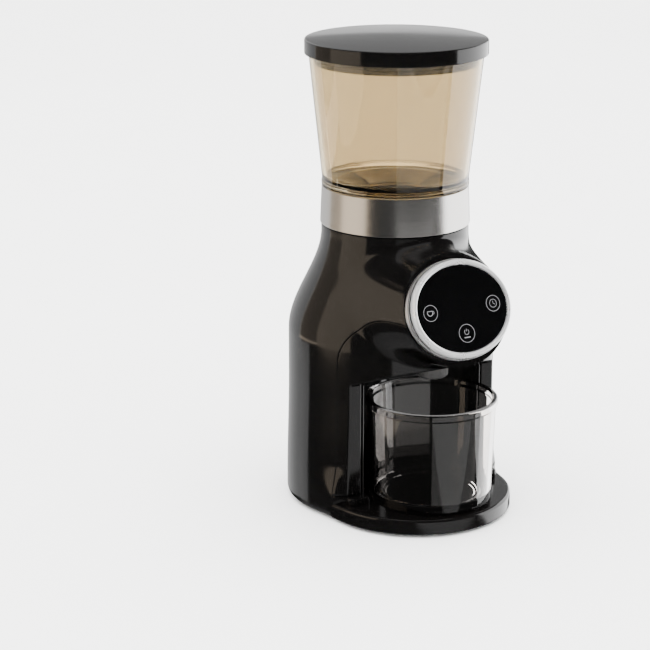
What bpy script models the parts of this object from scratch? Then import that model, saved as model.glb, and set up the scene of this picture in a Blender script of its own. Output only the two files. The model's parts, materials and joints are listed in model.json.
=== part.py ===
"""Burr coffee grinder: a round black tower with a bean hopper on top, a tilted touch panel, and a bay
in front that holds the grounds container. Metres, +Z up, the front faces -Y. The origin lies on the
surface the grinder stands on, under the middle of its bounding box."""

import math

import bmesh
import bpy
from mathutils import Matrix, Vector

MM = 0.001

# ---- driving dimensions ------------------------------------------------------------------------
GAP = 0.3 * MM  # air left between pieces that touch on the real thing
WALL = 2.4 * MM  # thickness of the moulded housings
AXIS_Y = 10.84 * MM  # the burr axis: hopper, burrs and neck are round about it
HOPPER_TOP_Z = 314.7 * MM
BAND_LOW_Z, BAND_HIGH_Z = 197.7 * MM, 223.4 * MM
NECK_RADIUS = 50.5 * MM
BODY_RADIUS = 71.3 * MM
BODY_SETBACK = 4.0 * MM  # the lower column's centre lies this far behind the burr axis
FOOT_RADIUS = BODY_RADIUS + 1.3 * MM
# Between these heights the column widens a little towards its foot.
FLARE, FLARE_TOP_Z, FLARE_LOW_Z = FOOT_RADIUS - BODY_RADIUS, 40 * MM, 14 * MM
SHOULDER_LOW_Z, SHOULDER_HIGH_Z = 121 * MM, 192 * MM
COLUMN_LOW_Z, COLUMN_HIGH_Z = 2.6 * MM, 197 * MM
TILT = math.radians(21)  # the touch panel leans back, and the underside of the head rises, by this
PANEL_FORWARD = 85 * MM  # the middle of the glass is this far in front of the burr axis
PANEL_Z = 155.5 * MM
GLASS_HALF = (34.3 * MM, 28.5 * MM)
BEZEL_HALF = (37.6 * MM, 34.5 * MM)
NOSE_HALF = (40.5 * MM, 38.5 * MM)
NOSE_BACK = 7.5 * MM  # the flat end of the nose lies this far behind the glass
PILLAR_FORWARD = 37.5 * MM
PILLAR_TOP_Z = 98 * MM
SEAM_FORWARD = 29.6 * MM
SEAM_TOP_Z = 147.7 * MM
SEAM_CORNER = 37 * MM
BAY_FORWARD = 49 * MM
BAY_RADIUS = 48 * MM
TRAY_FORWARD = 29.4 * MM
TRAY_RADIUS = 66.3 * MM
TRAY_LOW_Z, TRAY_TOP_Z, LEDGE_Z = 2.4 * MM, 12.9 * MM, 18.6 * MM
RECESS_RADIUS = 37.5 * MM
CONTAINER_RADIUS, CONTAINER_HEIGHT = 45.2 * MM, 72 * MM
MOTOR_BEHIND = 38 * MM
MOTOR_RADIUS = 22 * MM
GEAR_MODULE = 1.5 * MM
PINION_TEETH, IDLER_BIG_TEETH, IDLER_SMALL_TEETH, OUTPUT_TEETH = 11, 26, 12, 27

LINER_WALL = 1.8 * MM
LEDGE_FORWARD = 43.5 * MM
BASE_REAR_INSET = WALL + 2.8 * MM  # behind the seam the base stands inside the rear shell
LEDGE_BAY_RADIUS = BAY_RADIUS - 2 * MM
RECESS_Z = TRAY_TOP_Z - 1.2 * MM
NECK_HOLE_RADIUS = 44.6 * MM
CUP_HALF = (35.6 * MM, 32.1 * MM)
RING_HALF = (40.7 * MM, 39.2 * MM)
BOOT_RADIUS = 11.2 * MM
SHAFT_RADIUS = 4 * MM
PIN_RADIUS = 1 * MM
GLAND_RADIUS = 5.4 * MM
GEARBOX_LOW_Z, GEARBOX_HIGH_Z = 103 * MM, 123 * MM

# Places in plan, (x, y).
BAY_CENTRE = (0, AXIS_Y - BAY_FORWARD)
MOTOR_PLACE = (0, AXIS_Y + MOTOR_BEHIND)
PIN_PLACE = (0, AXIS_Y + 47.3 * MM)
GLAND_PLACE = (0, 24 * MM)  # (x, z), on the back wall
FOOT_PLACES = [(side * 44 * MM, AXIS_Y + along * MM) for side in (-1, 1) for along in (-56, 38)]
SCREW_PLACES = [(side * 52 * MM, AXIS_Y + along * MM) for side in (-1, 1) for along in (-40, 23)]
MOTOR_SCREW_PLACES = [(side * 11.3 * MM, AXIS_Y + MOTOR_BEHIND + side * 11.3 * MM) for side in (-1, 1)]
GEARBOX_EARS = [(24 * MM, AXIS_Y + 48 * MM), (-22 * MM, AXIS_Y + 46 * MM)]
POST_PLACES = [(-27 * MM, AXIS_Y + 14 * MM), (29 * MM, AXIS_Y - 4 * MM), (-14 * MM, AXIS_Y - 18 * MM)]


def meet(first, first_reach, second, second_reach):
    """The point on the right at given distances from two points on the burr axis's line."""
    apart = second[1] - first[1]
    along = (first_reach**2 - second_reach**2 + apart**2) / (2 * apart)
    return math.sqrt(first_reach**2 - along**2), first[1] + along


IDLER_PLACE = meet((0, AXIS_Y), GEAR_MODULE * (IDLER_SMALL_TEETH + OUTPUT_TEETH) / 2,
                   MOTOR_PLACE, GEAR_MODULE * (PINION_TEETH + IDLER_BIG_TEETH) / 2)

PANEL_NORMAL = Vector((0, -math.cos(TILT), math.sin(TILT)))
PANEL_UP = Vector((0, math.sin(TILT), math.cos(TILT)))
PANEL_CENTRE = Vector((0, AXIS_Y - PANEL_FORWARD, PANEL_Z))

FINISHES = {  # colour, roughness, metallic
    "gloss_black": ((0.012, 0.011, 0.011), 0.08, 0.0),
    "inner_black": ((0.03, 0.03, 0.03), 0.5, 0.0),
    "steel": ((0.62, 0.61, 0.59), 0.28, 1.0),
    "burr_steel": ((0.45, 0.45, 0.46), 0.35, 1.0),
    "satin_chrome": ((0.75, 0.75, 0.74), 0.22, 1.0),
    "glass_black": ((0.004, 0.004, 0.005), 0.03, 0.0),
    "smoked_plastic": ((0.36, 0.28, 0.19), 0.06, 0.0),
    "clear_plastic": ((0.85, 0.78, 0.72), 0.05, 0.0),
    "rubber": ((0.03, 0.03, 0.03), 0.8, 0.0),
    "nylon": ((0.78, 0.75, 0.66), 0.45, 0.0),
    "board_green": ((0.03, 0.16, 0.07), 0.5, 0.0),
    "magnet": ((0.10, 0.10, 0.10), 0.6, 0.3),
    "copper": ((0.55, 0.25, 0.12), 0.35, 1.0),
    "zinc": ((0.55, 0.56, 0.58), 0.35, 1.0),
}


# ---- scene helpers -----------------------------------------------------------------------------
def clear_scene():
    for old in list(bpy.data.objects):
        bpy.data.objects.remove(old, do_unlink=True)


def finish_material(name):
    material = bpy.data.materials.get(name)
    if material:
        return material
    colour, roughness, metallic = FINISHES[name]
    material = bpy.data.materials.new(name)
    material.use_nodes = True
    shader = material.node_tree.nodes["Principled BSDF"]
    shader.inputs["Base Color"].default_value = (*colour, 1)
    shader.inputs["Roughness"].default_value = roughness
    shader.inputs["Metallic"].default_value = metallic
    return material


def add_object(name, points, faces, finish=None):
    """One closed mesh object with its faces pointing out. Without a finish it is a hidden cutter."""
    shape = bmesh.new()
    corners = [shape.verts.new(point) for point in points]
    for face in faces:
        shape.faces.new([corners[index] for index in face])
    bmesh.ops.recalc_face_normals(shape, faces=shape.faces)
    bmesh.ops.triangulate(shape, faces=[face for face in shape.faces if len(face.verts) > 3])
    if shape.calc_volume(signed=True) < 0:
        bmesh.ops.reverse_faces(shape, faces=shape.faces)
    mesh = bpy.data.meshes.new(name)
    shape.to_mesh(mesh)
    shape.free()
    made = bpy.data.objects.new(name, mesh)
    bpy.context.scene.collection.objects.link(made)
    if finish:
        mesh.materials.append(finish_material(finish))
        mesh.shade_smooth()
        mesh.set_sharp_from_angle(angle=math.radians(35))
    else:
        made.hide_render = True
        made.display_type = "WIRE"
    return made


def combine(target, helper, operation, solver="EXACT"):
    """Adds one Boolean; the helper stays in the file as a hidden wire object."""
    step = target.modifiers.new(helper.name, "BOOLEAN")
    step.operation = operation
    step.solver = solver
    step.object = helper
    helper.hide_render = True
    helper.display_type = "WIRE"
    return target


def cut(target, *cutters):
    for cutter in cutters:
        combine(target, cutter, "DIFFERENCE")
    return target


def join(target, *others):
    for other in others:
        combine(target, other, "UNION")
    return target


# ---- shape helpers -----------------------------------------------------------------------------
def arc(centre, radius, start, end, steps):
    """Points of an arc in a plane, angles in degrees."""
    turns = [math.radians(start + (end - start) * i / steps) for i in range(steps + 1)]
    return [(centre[0] + radius * math.cos(t), centre[1] + radius * math.sin(t)) for t in turns]


def loft(name, loops, finish=None, closed=False):
    """Skins loops that hold the same number of points. Closed joins the last loop to the first."""
    count = len(loops[0])
    points = [point for loop in loops for point in loop]
    faces = []
    rows = len(loops)
    for row in range(rows if closed else rows - 1):
        low, high = row * count, (row + 1) % rows * count
        for i in range(count):
            j = (i + 1) % count
            faces.append((low + i, low + j, high + j, high + i))
    if not closed:
        faces.append(tuple(reversed(range(count))))
        faces.append(tuple(range((rows - 1) * count, rows * count)))
    return add_object(name, points, faces, finish)


def turn(name, profile, finish=None, centre=(0, AXIS_Y), segments=32):
    """Revolves a closed (radius, z) outline, which stays off the axis, about a vertical line."""
    loops = []
    for step in range(segments):
        angle = 2 * math.pi * step / segments
        across, along = math.cos(angle), math.sin(angle)
        loops.append([(centre[0] + r * across, centre[1] + r * along, z) for r, z in profile])
    return loft(name, loops, finish, closed=True)


def turn_solid(name, profile, finish=None, centre=(0, AXIS_Y), segments=48):
    """Revolves an open (radius, z) outline whose two ends are closed by flat discs."""
    angles = [2 * math.pi * step / segments for step in range(segments)]
    loops = [[(centre[0] + r * math.cos(a), centre[1] + r * math.sin(a), z) for a in angles]
             for r, z in profile]
    return loft(name, loops, finish)


def prism(name, outline, low, high, finish=None):
    """Raises a plan outline of (x, y) points from z = low to z = high."""
    return loft(name, [[(x, y, low) for x, y in outline], [(x, y, high) for x, y in outline]], finish)


def side_prism(name, outline, left, right, finish=None):
    """Stretches a side outline of (y, z) points from x = left to x = right."""
    return loft(name, [[(left, y, z) for y, z in outline], [(right, y, z) for y, z in outline]], finish)


def box(name, low, high, finish=None):
    outline = [(low[0], low[1]), (high[0], low[1]), (high[0], high[1]), (low[0], high[1])]
    return prism(name, outline, low[2], high[2], finish)


def cylinder(name, centre, radius, low, high, finish=None, segments=24):
    return turn_solid(name, [(radius, low), (radius, high)], finish, centre, segments)


# ---- the outer form ----------------------------------------------------------------------------
def smooth_step(value):
    value = min(max(value, 0.0), 1.0)
    return value * value * (3 - 2 * value)


def column_circle(z):
    """Radius and centre of the round column at a height: a wide body drawn in to the neck."""
    share = smooth_step((SHOULDER_HIGH_Z - z) / (SHOULDER_HIGH_Z - SHOULDER_LOW_Z))
    radius = NECK_RADIUS + (BODY_RADIUS - NECK_RADIUS) * share
    radius += FLARE * smooth_step((FLARE_TOP_Z - z) / (FLARE_TOP_Z - FLARE_LOW_Z))
    return radius, AXIS_Y + BODY_SETBACK * share


def nose_plane_y(z):
    """Where the flat end of the nose stands at a height."""
    rim = PANEL_CENTRE - PANEL_NORMAL * NOSE_BACK
    return rim.y + (z - rim.z) * math.tan(TILT)


def nose_pull(x, z):
    """How far a point of the front is drawn to the nose: 1 on its flat end, 0 on the plain column."""
    rim_z = PANEL_CENTRE.z - NOSE_BACK * math.sin(TILT)
    across, upward = x / NOSE_HALF[0], (z - rim_z) / (NOSE_HALF[1] * math.cos(TILT))
    reach = math.hypot(across, upward)
    if reach <= 1:
        return 1.0
    sideways = abs(across) / reach
    fade = 0.21 + 0.25 * sideways * sideways
    return max(0.0, 1 - (reach - 1) / fade) ** 2


def base_half_width(y):
    """Half width of the base's plan, the hull of the column's foot circle and the tray's circle."""
    rear_y, front_y = AXIS_Y + BODY_SETBACK, AXIS_Y - TRAY_FORWARD
    lean = math.asin((FOOT_RADIUS - TRAY_RADIUS) / (rear_y - front_y))
    if y >= rear_y - FOOT_RADIUS * math.sin(lean):
        return math.sqrt(max(0.0, FOOT_RADIUS**2 - (y - rear_y) ** 2))
    return FOOT_RADIUS / math.cos(lean) + (y - rear_y) * math.tan(lean)


def foot_widening(y, z, radius, centre_y):
    """How far the column's sides are drawn out near its foot, so that they run on into the tray."""
    share = smooth_step((FLARE_TOP_Z - z) / (FLARE_TOP_Z - FLARE_LOW_Z))
    share *= smooth_step((y - AXIS_Y + PILLAR_FORWARD) / (PILLAR_FORWARD - SEAM_FORWARD))
    if share == 0 or y > centre_y:
        return 0.0
    return share * (base_half_width(y) - math.sqrt(radius**2 - (y - centre_y) ** 2))


def foot_half_width(y):
    """Half width of the column's outside just above the tray."""
    radius, centre_y = column_circle(LEDGE_Z)
    return math.sqrt(radius**2 - (y - centre_y) ** 2) + foot_widening(y, LEDGE_Z, radius, centre_y) - 0.2 * MM


def column_loop(z, inset, segments):
    radius, centre_y = column_circle(z)
    loop = []
    for step in range(segments):
        angle = 2 * math.pi * step / segments
        x = (radius - inset) * math.cos(angle)
        y = centre_y + (radius - inset) * math.sin(angle)
        x += math.copysign(foot_widening(y, z, radius, centre_y), x)
        pull = nose_pull(x * radius / (radius - inset), z) if y < centre_y else 0.0
        target = min(nose_plane_y(z) + inset, y)
        loop.append((x, y + (target - y) * pull, z))
    return loop


def column(name, inset, low, high, finish=None, segments=44):
    """The column with its nose, from one height to another, as a solid."""
    outside = inset == 0
    nose_foot, rows = 113 * MM, 13 if outside else 9
    heights = [nose_foot + (high - nose_foot) * i / rows for i in range(rows + 1)]
    if outside:
        heights[0:0] = [FLARE_LOW_Z, (FLARE_LOW_Z + FLARE_TOP_Z) / 2, FLARE_TOP_Z]
    loops = [column_loop(z, inset, segments) for z in heights]
    if outside:  # the bottom edge is rounded
        rounded = [(1.9 * MM, 0), (0.6 * MM, 1.4 * MM), (0, 4.4 * MM)]
        loops[0:0] = [column_loop(low + rise, shrink, segments) for shrink, rise in rounded]
    else:
        loops[0:0] = [column_loop(low, inset, segments)]
    return loft(name, loops, finish)


def seam_outline(shrink):
    """Side view of everything that belongs to the front cover, drawn in by `shrink`."""
    back = AXIS_Y - SEAM_FORWARD - shrink
    top = SEAM_TOP_Z - shrink
    corner = (back - SEAM_CORNER, top - SEAM_CORNER)
    return [(-0.2, -0.02), (back, -0.02)] + arc(corner, SEAM_CORNER, 0, 90, 8) + [(-0.2, top)]


def underside_z(y):
    """Height of the underside of the head: level over the bay, then rising along the nose."""
    return PILLAR_TOP_Z + max(0.0, AXIS_Y - PILLAR_FORWARD - y) * math.tan(TILT)


def notch_outline(lower, margin=0.0):
    """Side view of the air in front of the pillars and under the head, widened by a margin."""
    pillar = AXIS_Y - PILLAR_FORWARD
    high = PILLAR_TOP_Z + margin
    return [(-0.2, lower), (pillar + margin, lower), (pillar + margin, high), (pillar, high),
            (-0.2, underside_z(-0.2) + margin)]


def bay_plan(radius, forward=0.0, steps=24):
    """Plan of the bay behind the pillars' front plane: a circle's back part, closed by a straight line."""
    start = math.degrees(math.asin((BAY_FORWARD - PILLAR_FORWARD - forward) / radius))
    return arc((0, AXIS_Y - BAY_FORWARD), radius, start, 180 - start, steps)


def base_plan(inset, steps=16):
    """Plan of the base: the hull of the column's circle and the tray's circle."""
    rear, front = FOOT_RADIUS - inset, TRAY_RADIUS - inset
    rear_y, front_y = AXIS_Y + BODY_SETBACK, AXIS_Y - TRAY_FORWARD
    lean = math.degrees(math.asin((rear - front) / (rear_y - front_y)))
    return (arc((0, rear_y), rear, -lean, 180 + lean, steps)
            + arc((0, front_y), front, 180 + lean, 360 - lean, steps))


# ---- housings ----------------------------------------------------------------------------------
def rear_shell():
    """The tower: column wall behind the seam, with its shoulder, its neck flange and the nose's top."""
    shell = column("rear_shell", 0, COLUMN_LOW_Z, COLUMN_HIGH_Z, "gloss_black")
    hollow = column("rear_shell_hollow", WALL, -20 * MM, COLUMN_HIGH_Z - 2.8 * MM)
    throat = cylinder("rear_shell_throat", (0, AXIS_Y), NECK_HOLE_RADIUS, 150 * MM, 220 * MM, segments=48)
    front = side_prism("rear_shell_front", seam_outline(-GAP / 2), -0.12, 0.12)
    gland = y_cylinder("rear_shell_gland_hole", GLAND_PLACE, GLAND_RADIUS + GAP, 60 * MM, 120 * MM)
    pin = cylinder("rear_shell_pin_hole", PIN_PLACE, PIN_RADIUS + 2 * GAP, 180 * MM, 210 * MM)
    return cut(shell, hollow, throat, front, panel_opening("rear_shell_panel"), gland, pin)


def panel_opening(name):
    """An oval cutter along the panel's normal, for the cup that holds the panel."""
    halves = (CUP_HALF[0] + GAP, CUP_HALF[1] + GAP)
    return oval(name, [(halves, -30 * MM), (halves, 20 * MM)])


def front_cover():
    """The face below the arched seam: two pillars, the lower half of the nose and the head's underside."""
    cover = column("front_cover", 0, COLUMN_LOW_Z, COLUMN_HIGH_Z, "gloss_black")
    keep = side_prism("front_cover_keep", seam_outline(GAP / 2), -0.12, 0.12)
    combine(cover, keep, "INTERSECT")
    notch = side_prism("front_cover_notch", notch_outline(-20 * MM), -0.12, 0.12)
    foot = box("front_cover_foot", (-0.1, -0.12, -20 * MM), (0.1, 0.12, LEDGE_Z + GAP))
    bay = prism("front_cover_bay", bay_plan(BAY_RADIUS + LINER_WALL + GAP, 2 * GAP), -20 * MM,
                PILLAR_TOP_Z + LINER_WALL + GAP)
    hollow = column("front_cover_hollow", WALL, -20 * MM, COLUMN_HIGH_Z - 2.8 * MM)
    skin = side_prism("front_cover_skin", notch_outline(-30 * MM, WALL), -0.13, 0.13)
    combine(hollow, skin, "DIFFERENCE")
    outlet = cylinder("front_cover_outlet", BAY_CENTRE, BOOT_RADIUS + GAP, 90 * MM, 125 * MM)
    return cut(cover, notch, foot, bay, hollow, panel_opening("front_cover_panel"), outlet)


def bay_liner():
    """The bay's curved wall and its level ceiling."""
    liner = prism("bay_liner", bay_plan(BAY_RADIUS + LINER_WALL), LEDGE_Z + GAP,
                  PILLAR_TOP_Z + LINER_WALL, "gloss_black")
    # The cutter starts in front of the liner, so that both cuts leave its front edges square.
    air = prism("bay_liner_air", bay_plan(BAY_RADIUS), 0, PILLAR_TOP_Z)
    front = box("bay_liner_front", (-46.4 * MM, AXIS_Y - PILLAR_FORWARD - 0.01, 0),
                (46.4 * MM, AXIS_Y - PILLAR_FORWARD + 2 * MM, PILLAR_TOP_Z))
    return cut(liner, air, front)


def base():
    """The foot of the tower: a tray in front, and a ledge that the pillars and the liner stand on."""
    seam = AXIS_Y - SEAM_FORWARD
    rear_inset = BASE_REAR_INSET
    whole = prism("base", base_plan(0), TRAY_LOW_Z, TRAY_TOP_Z, "gloss_black")
    trimmed = box("base_trim", (-0.1, seam - GAP, -0.01), (0.1, 0.12, 0.05))
    combine(trimmed, prism("base_trim_keep", base_plan(rear_inset), -0.02, 0.06), "DIFFERENCE")
    ledge = prism("base_ledge", ledge_plan(rear_inset), 10 * MM, LEDGE_Z)
    cut(ledge, cylinder("base_ledge_bay", BAY_CENTRE, LEDGE_BAY_RADIUS, 0, 0.05, segments=40))
    recess = cylinder("base_recess", BAY_CENTRE, RECESS_RADIUS, RECESS_Z, 0.05, segments=36)
    cavity = prism("base_cavity", base_plan(rear_inset + WALL), -0.01, RECESS_Z - WALL)
    for index, place in enumerate(SCREW_PLACES):
        boss = turn(f"base_boss_{index}", [(4 * MM, 4.9 * MM), (4 * MM, 15 * MM), (1.7 * MM, 15 * MM),
                                           (1.7 * MM, 4.9 * MM)], centre=place, segments=16)
        combine(cavity, boss, "DIFFERENCE")
    return cut(join(cut(whole, trimmed), ledge), recess, cavity)


def ledge_plan(rear_inset):
    """Plan of the ledge: a strip in front of the pillars, then their width, then the shell's inside."""
    centre_y = AXIS_Y + BODY_SETBACK
    front, strip_back = AXIS_Y - LEDGE_FORWARD, AXIS_Y - PILLAR_FORWARD + 1.5 * MM
    seam, half, corner = AXIS_Y - SEAM_FORWARD - GAP, 60.2 * MM, 2.5 * MM

    def width(y, radius):
        return math.sqrt(radius**2 - (y - centre_y) ** 2)

    right = arc((half - corner, front + corner), corner, 270, 360, 3) + [(half, strip_back - 1.5 * MM)]
    right += [(foot_half_width(y), y) for y in (strip_back, (strip_back + seam) / 2, seam)]
    ys = [seam + (centre_y - seam) * i / 5 for i in range(6)]
    right += [(width(y, BODY_RADIUS - rear_inset), y) for y in ys]
    return right + [(-x, y) for x, y in reversed(right)]


def bottom_plate():
    """Closes the base from below, and carries the feet."""
    plan = base_plan(BASE_REAR_INSET + WALL + GAP)
    plate = prism("bottom_plate", plan, TRAY_LOW_Z, 4.5 * MM, "inner_black")
    for index, place in enumerate(SCREW_PLACES):
        cut(plate, cylinder(f"plate_screw_hole_{index}", place, 1.7 * MM, 0, 0.01, segments=8),
            cylinder(f"plate_screw_sink_{index}", place, 3.4 * MM, 0, 3.4 * MM, segments=12))
    for index, place in enumerate(FOOT_PLACES):
        cut(plate, cylinder(f"plate_foot_hole_{index}", place, 2.7 * MM, 0, 0.01, segments=12))
    for row in range(4):  # slots that let the motor's air out
        y = AXIS_Y + (22 + 7 * row) * MM
        cut(plate, box(f"plate_slot_{row}", (-16 * MM, y, 0), (16 * MM, y + 2.6 * MM, 0.01)))
    return plate


def feet():
    for index, place in enumerate(FOOT_PLACES):
        turn_solid(f"foot_{index + 1}", [(5.6 * MM, 0), (6.8 * MM, 0.8 * MM), (7 * MM, 2.1 * MM),
                                         (2.4 * MM, 2.1 * MM), (2.4 * MM, 4.2 * MM)], "rubber", place, 16)


def screw(name, place, under_head, head_height, head_radius, shank_radius, length, points_up):
    """A pan-head screw along Z. `under_head` is where its head meets the work."""
    way = 1 if points_up else -1
    head_end = under_head - way * head_height
    return turn_solid(name, [(head_radius * 0.75, head_end),
                             (head_radius, head_end + way * head_height * 0.4),
                             (head_radius, under_head), (shank_radius, under_head),
                             (shank_radius, under_head + way * length)], "zinc", place, 12)


def bottom_screws():
    for index, place in enumerate(SCREW_PLACES):
        screw(f"base_screw_{index + 1}", place, 3.1 * MM, 1.0 * MM, 3 * MM, 1.4 * MM, 5.8 * MM, True)


def cord_gland():
    """The rubber bush in the back wall that a mains lead enters through."""
    x, z = GLAND_PLACE
    wall_y = AXIS_Y + BODY_SETBACK + BODY_RADIUS
    bush = y_cylinder("cord_gland", (x, z), GLAND_RADIUS, wall_y - 9 * MM, wall_y - 0.4 * MM, "rubber")
    rim = y_cylinder("cord_gland_rim", (x, z), GLAND_RADIUS + 2 * MM, wall_y - 9 * MM, wall_y - 3.2 * MM)
    bore = y_cylinder("cord_gland_bore", (x, z), 3.6 * MM, 0, 0.2)
    return cut(join(bush, rim), bore)


# ---- touch panel -------------------------------------------------------------------------------
def oval_loop(halves, depth, segments=36):
    centre = PANEL_CENTRE + PANEL_NORMAL * depth
    loop = []
    for step in range(segments):
        angle = 2 * math.pi * step / segments
        point = centre + PANEL_UP * (halves[1] * math.sin(angle))
        loop.append((halves[0] * math.cos(angle), point.y, point.z))
    return loop


def oval(name, sections, finish=None, closed=False):
    """Skins ovals given as (half sizes, distance in front of the glass)."""
    return loft(name, [oval_loop(halves, depth) for halves, depth in sections], finish, closed)


def shrink(halves, by):
    return halves[0] - by, halves[1] - by


def blend(share):
    """An oval between the glass's edge (0) and the bezel's outside (1)."""
    return tuple(g + (b - g) * share for g, b in zip(GLASS_HALF, BEZEL_HALF))


def panel():
    """Glass, bezel, the wider ring behind it, and the cup with the sensor board."""
    glass = shrink(GLASS_HALF, GAP)
    oval("touch_glass", [(glass, -1.8 * MM), (glass, -0.4 * MM), (shrink(glass, 0.4 * MM), 0)], "glass_black")
    oval("panel_bezel", [(blend(0), -3.5 * MM), (blend(0), 0.3 * MM), (blend(0.25), 1.5 * MM),
                         (blend(0.6), 1.9 * MM), (blend(0.92), 1.0 * MM), (blend(1), -0.6 * MM),
                         (blend(1), -3.5 * MM)], "satin_chrome", closed=True)
    oval("panel_ring", [((33 * MM, 28 * MM), -7.2 * MM), ((33 * MM, 28 * MM), -3.8 * MM),
                        (shrink(RING_HALF, 1.5 * MM), -3.8 * MM), (shrink(RING_HALF, 0.3 * MM), -4.6 * MM),
                        (RING_HALF, -5.8 * MM), (RING_HALF, -7.2 * MM)], "satin_chrome", closed=True)
    inside = shrink(CUP_HALF, 1.6 * MM)
    oval("panel_cup", [(CUP_HALF, -15 * MM), (CUP_HALF, -7.5 * MM), (inside, -7.5 * MM),
                       (inside, -13.4 * MM)], "inner_black")
    board = shrink(inside, GAP)
    oval("touch_board", [(board, -11 * MM), (board, -9.4 * MM)], "board_green")


# ---- hopper and grind setting ------------------------------------------------------------------
def lid():
    top = 325.6 * MM
    turn_solid("lid", [(24 * MM, top), (44 * MM, top - 0.6 * MM), (57 * MM, top - 1.9 * MM),
                       (60.8 * MM, top - 3 * MM), (62 * MM, top - 4.8 * MM), (62 * MM, 314 * MM),
                       (61.2 * MM, 313 * MM), (60.2 * MM, 313 * MM), (60.2 * MM, HOPPER_TOP_Z + GAP),
                       (55.8 * MM, HOPPER_TOP_Z + GAP), (55.8 * MM, 312.4 * MM), (54.2 * MM, 312.4 * MM),
                       (54.2 * MM, 309.6 * MM), (55.8 * MM, 309.6 * MM), (55.8 * MM, 307 * MM),
                       (53.2 * MM, 306.4 * MM), (52.4 * MM, 318 * MM)], "gloss_black", segments=36)
    turn("lid_seal", [(54.5 * MM, 312.1 * MM), (54.5 * MM, 309.9 * MM), (56 * MM, 309.9 * MM),
                      (56.6 * MM, 311 * MM), (56 * MM, 312.1 * MM)], "rubber", segments=36)


def hopper():
    """The bean hopper: a cone with a funnel floor, an open throat and a skirt that drops into the collar."""
    turn("hopper", [(59.3 * MM, HOPPER_TOP_Z), (49.9 * MM, 227.6 * MM), (50.3 * MM, 227 * MM),
                    (50.3 * MM, 224 * MM), (43 * MM, 224 * MM), (43 * MM, 210 * MM), (40.8 * MM, 210 * MM),
                    (40.8 * MM, 224.8 * MM), (22.2 * MM, 218 * MM), (22.2 * MM, 208 * MM),
                    (20 * MM, 208 * MM), (20 * MM, 219.6 * MM), (47.5 * MM, 230 * MM),
                    (57.2 * MM, HOPPER_TOP_Z)], "smoked_plastic", segments=40)
    guard = turn("finger_guard", [(19.6 * MM, 213 * MM), (19.6 * MM, 209 * MM), (17.6 * MM, 209 * MM),
                                  (17.6 * MM, 213 * MM)], "inner_black", segments=32)
    across = box("finger_guard_across", (-18.5 * MM, AXIS_Y - MM, 209.4 * MM),
                 (18.5 * MM, AXIS_Y + MM, 212.6 * MM))
    along = box("finger_guard_along", (-MM, AXIS_Y - 18.5 * MM, 209.6 * MM),
                (MM, AXIS_Y + 18.5 * MM, 212.4 * MM))
    join(guard, across, along)


def grind_setting():
    """The band on the neck, and the collar that the hopper turns, whose thread moves the outer burr."""
    turn("trim_band", [(50.2 * MM, BAND_HIGH_Z), (50.9 * MM, 208 * MM), (51.3 * MM, BAND_LOW_Z),
                       (49.7 * MM, BAND_LOW_Z), (49.7 * MM, 222.2 * MM), (48.4 * MM, 222.2 * MM),
                       (48.4 * MM, BAND_HIGH_Z)], "steel", segments=40)
    turn("adjust_collar", [(45 * MM, 223.6 * MM), (45 * MM, 205.7 * MM), (38.6 * MM, 205.7 * MM),
                           (38.6 * MM, 194 * MM), (36 * MM, 194 * MM), (36 * MM, 208.5 * MM),
                           (43.4 * MM, 208.5 * MM), (43.4 * MM, 223.6 * MM)], "nylon")
    turn("burr_carrier", [(35.6 * MM, 206.5 * MM), (35.6 * MM, 177 * MM), (31.3 * MM, 177 * MM),
                          (31.3 * MM, 193.2 * MM), (25.5 * MM, 193.2 * MM), (25.5 * MM, 197 * MM),
                          (33 * MM, 206.5 * MM)], "nylon")
    ring_burr()


def ring_burr():
    """The outer burr: a ring whose inside is a fluted cone."""
    teeth = 24
    count = teeth * 2
    inner = [(177.3 * MM, 20.8 * MM, 0.9 * MM), (183 * MM, 21.4 * MM, 1.4 * MM),
             (192.9 * MM, 23.5 * MM, 2.2 * MM)]
    outer_radius = 31 * MM
    loops = []
    for z, radius, deep in inner:
        loops.append([burr_point(i, count, radius + deep * (i % 2), z, 0) for i in range(count)])
    for z in (192.9 * MM, 177.3 * MM):
        loops.append([burr_point(i, count, outer_radius, z, 0) for i in range(count)])
    return loft("ring_burr", loops, "burr_steel", closed=True)


def burr_point(index, count, radius, z, twist):
    angle = 2 * math.pi * index / count + twist
    return radius * math.cos(angle), AXIS_Y + radius * math.sin(angle), z


def cone_burr():
    """The inner burr: a cone with flutes that wind about it, on a bore for the shaft."""
    ridges, rows = 12, 5
    count = ridges * 3
    low, high = 177 * MM, 196.5 * MM
    loops = []
    for row in range(rows + 1):
        share = row / rows
        radius = 20 * MM - 11.5 * MM * share
        deep = (1.2 + 1.2 * share) * MM
        dips = [deep if i % 3 else 0 for i in range(count)]
        loops.append([burr_point(i, count, radius - dips[i], low + (high - low) * share, 0.5 * share)
                      for i in range(count)])
    cone = loft("cone_burr", loops, "burr_steel")
    return cut(cone, cylinder("cone_burr_bore", (0, AXIS_Y), SHAFT_RADIUS + 0.1 * MM, 0.17, 0.21))


def impeller():
    """The bladed disc under the burrs that sweeps the grounds to the chute."""
    disc = turn("impeller", [(31.5 * MM, 170.6 * MM), (31.5 * MM, 168.8 * MM),
                             (SHAFT_RADIUS + 0.1 * MM, 168.8 * MM), (SHAFT_RADIUS + 0.1 * MM, 176.7 * MM),
                             (9 * MM, 176.7 * MM), (9.5 * MM, 170.6 * MM)], "nylon", segments=28)
    for index in range(6):
        blade = box(f"impeller_blade_{index}", (7 * MM, -1.2 * MM, 170 * MM), (31 * MM, 1.2 * MM, 175.6 * MM))
        blade.location.y = AXIS_Y
        blade.rotation_euler.z = index * math.pi / 3
        join(disc, blade)
    return disc


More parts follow.
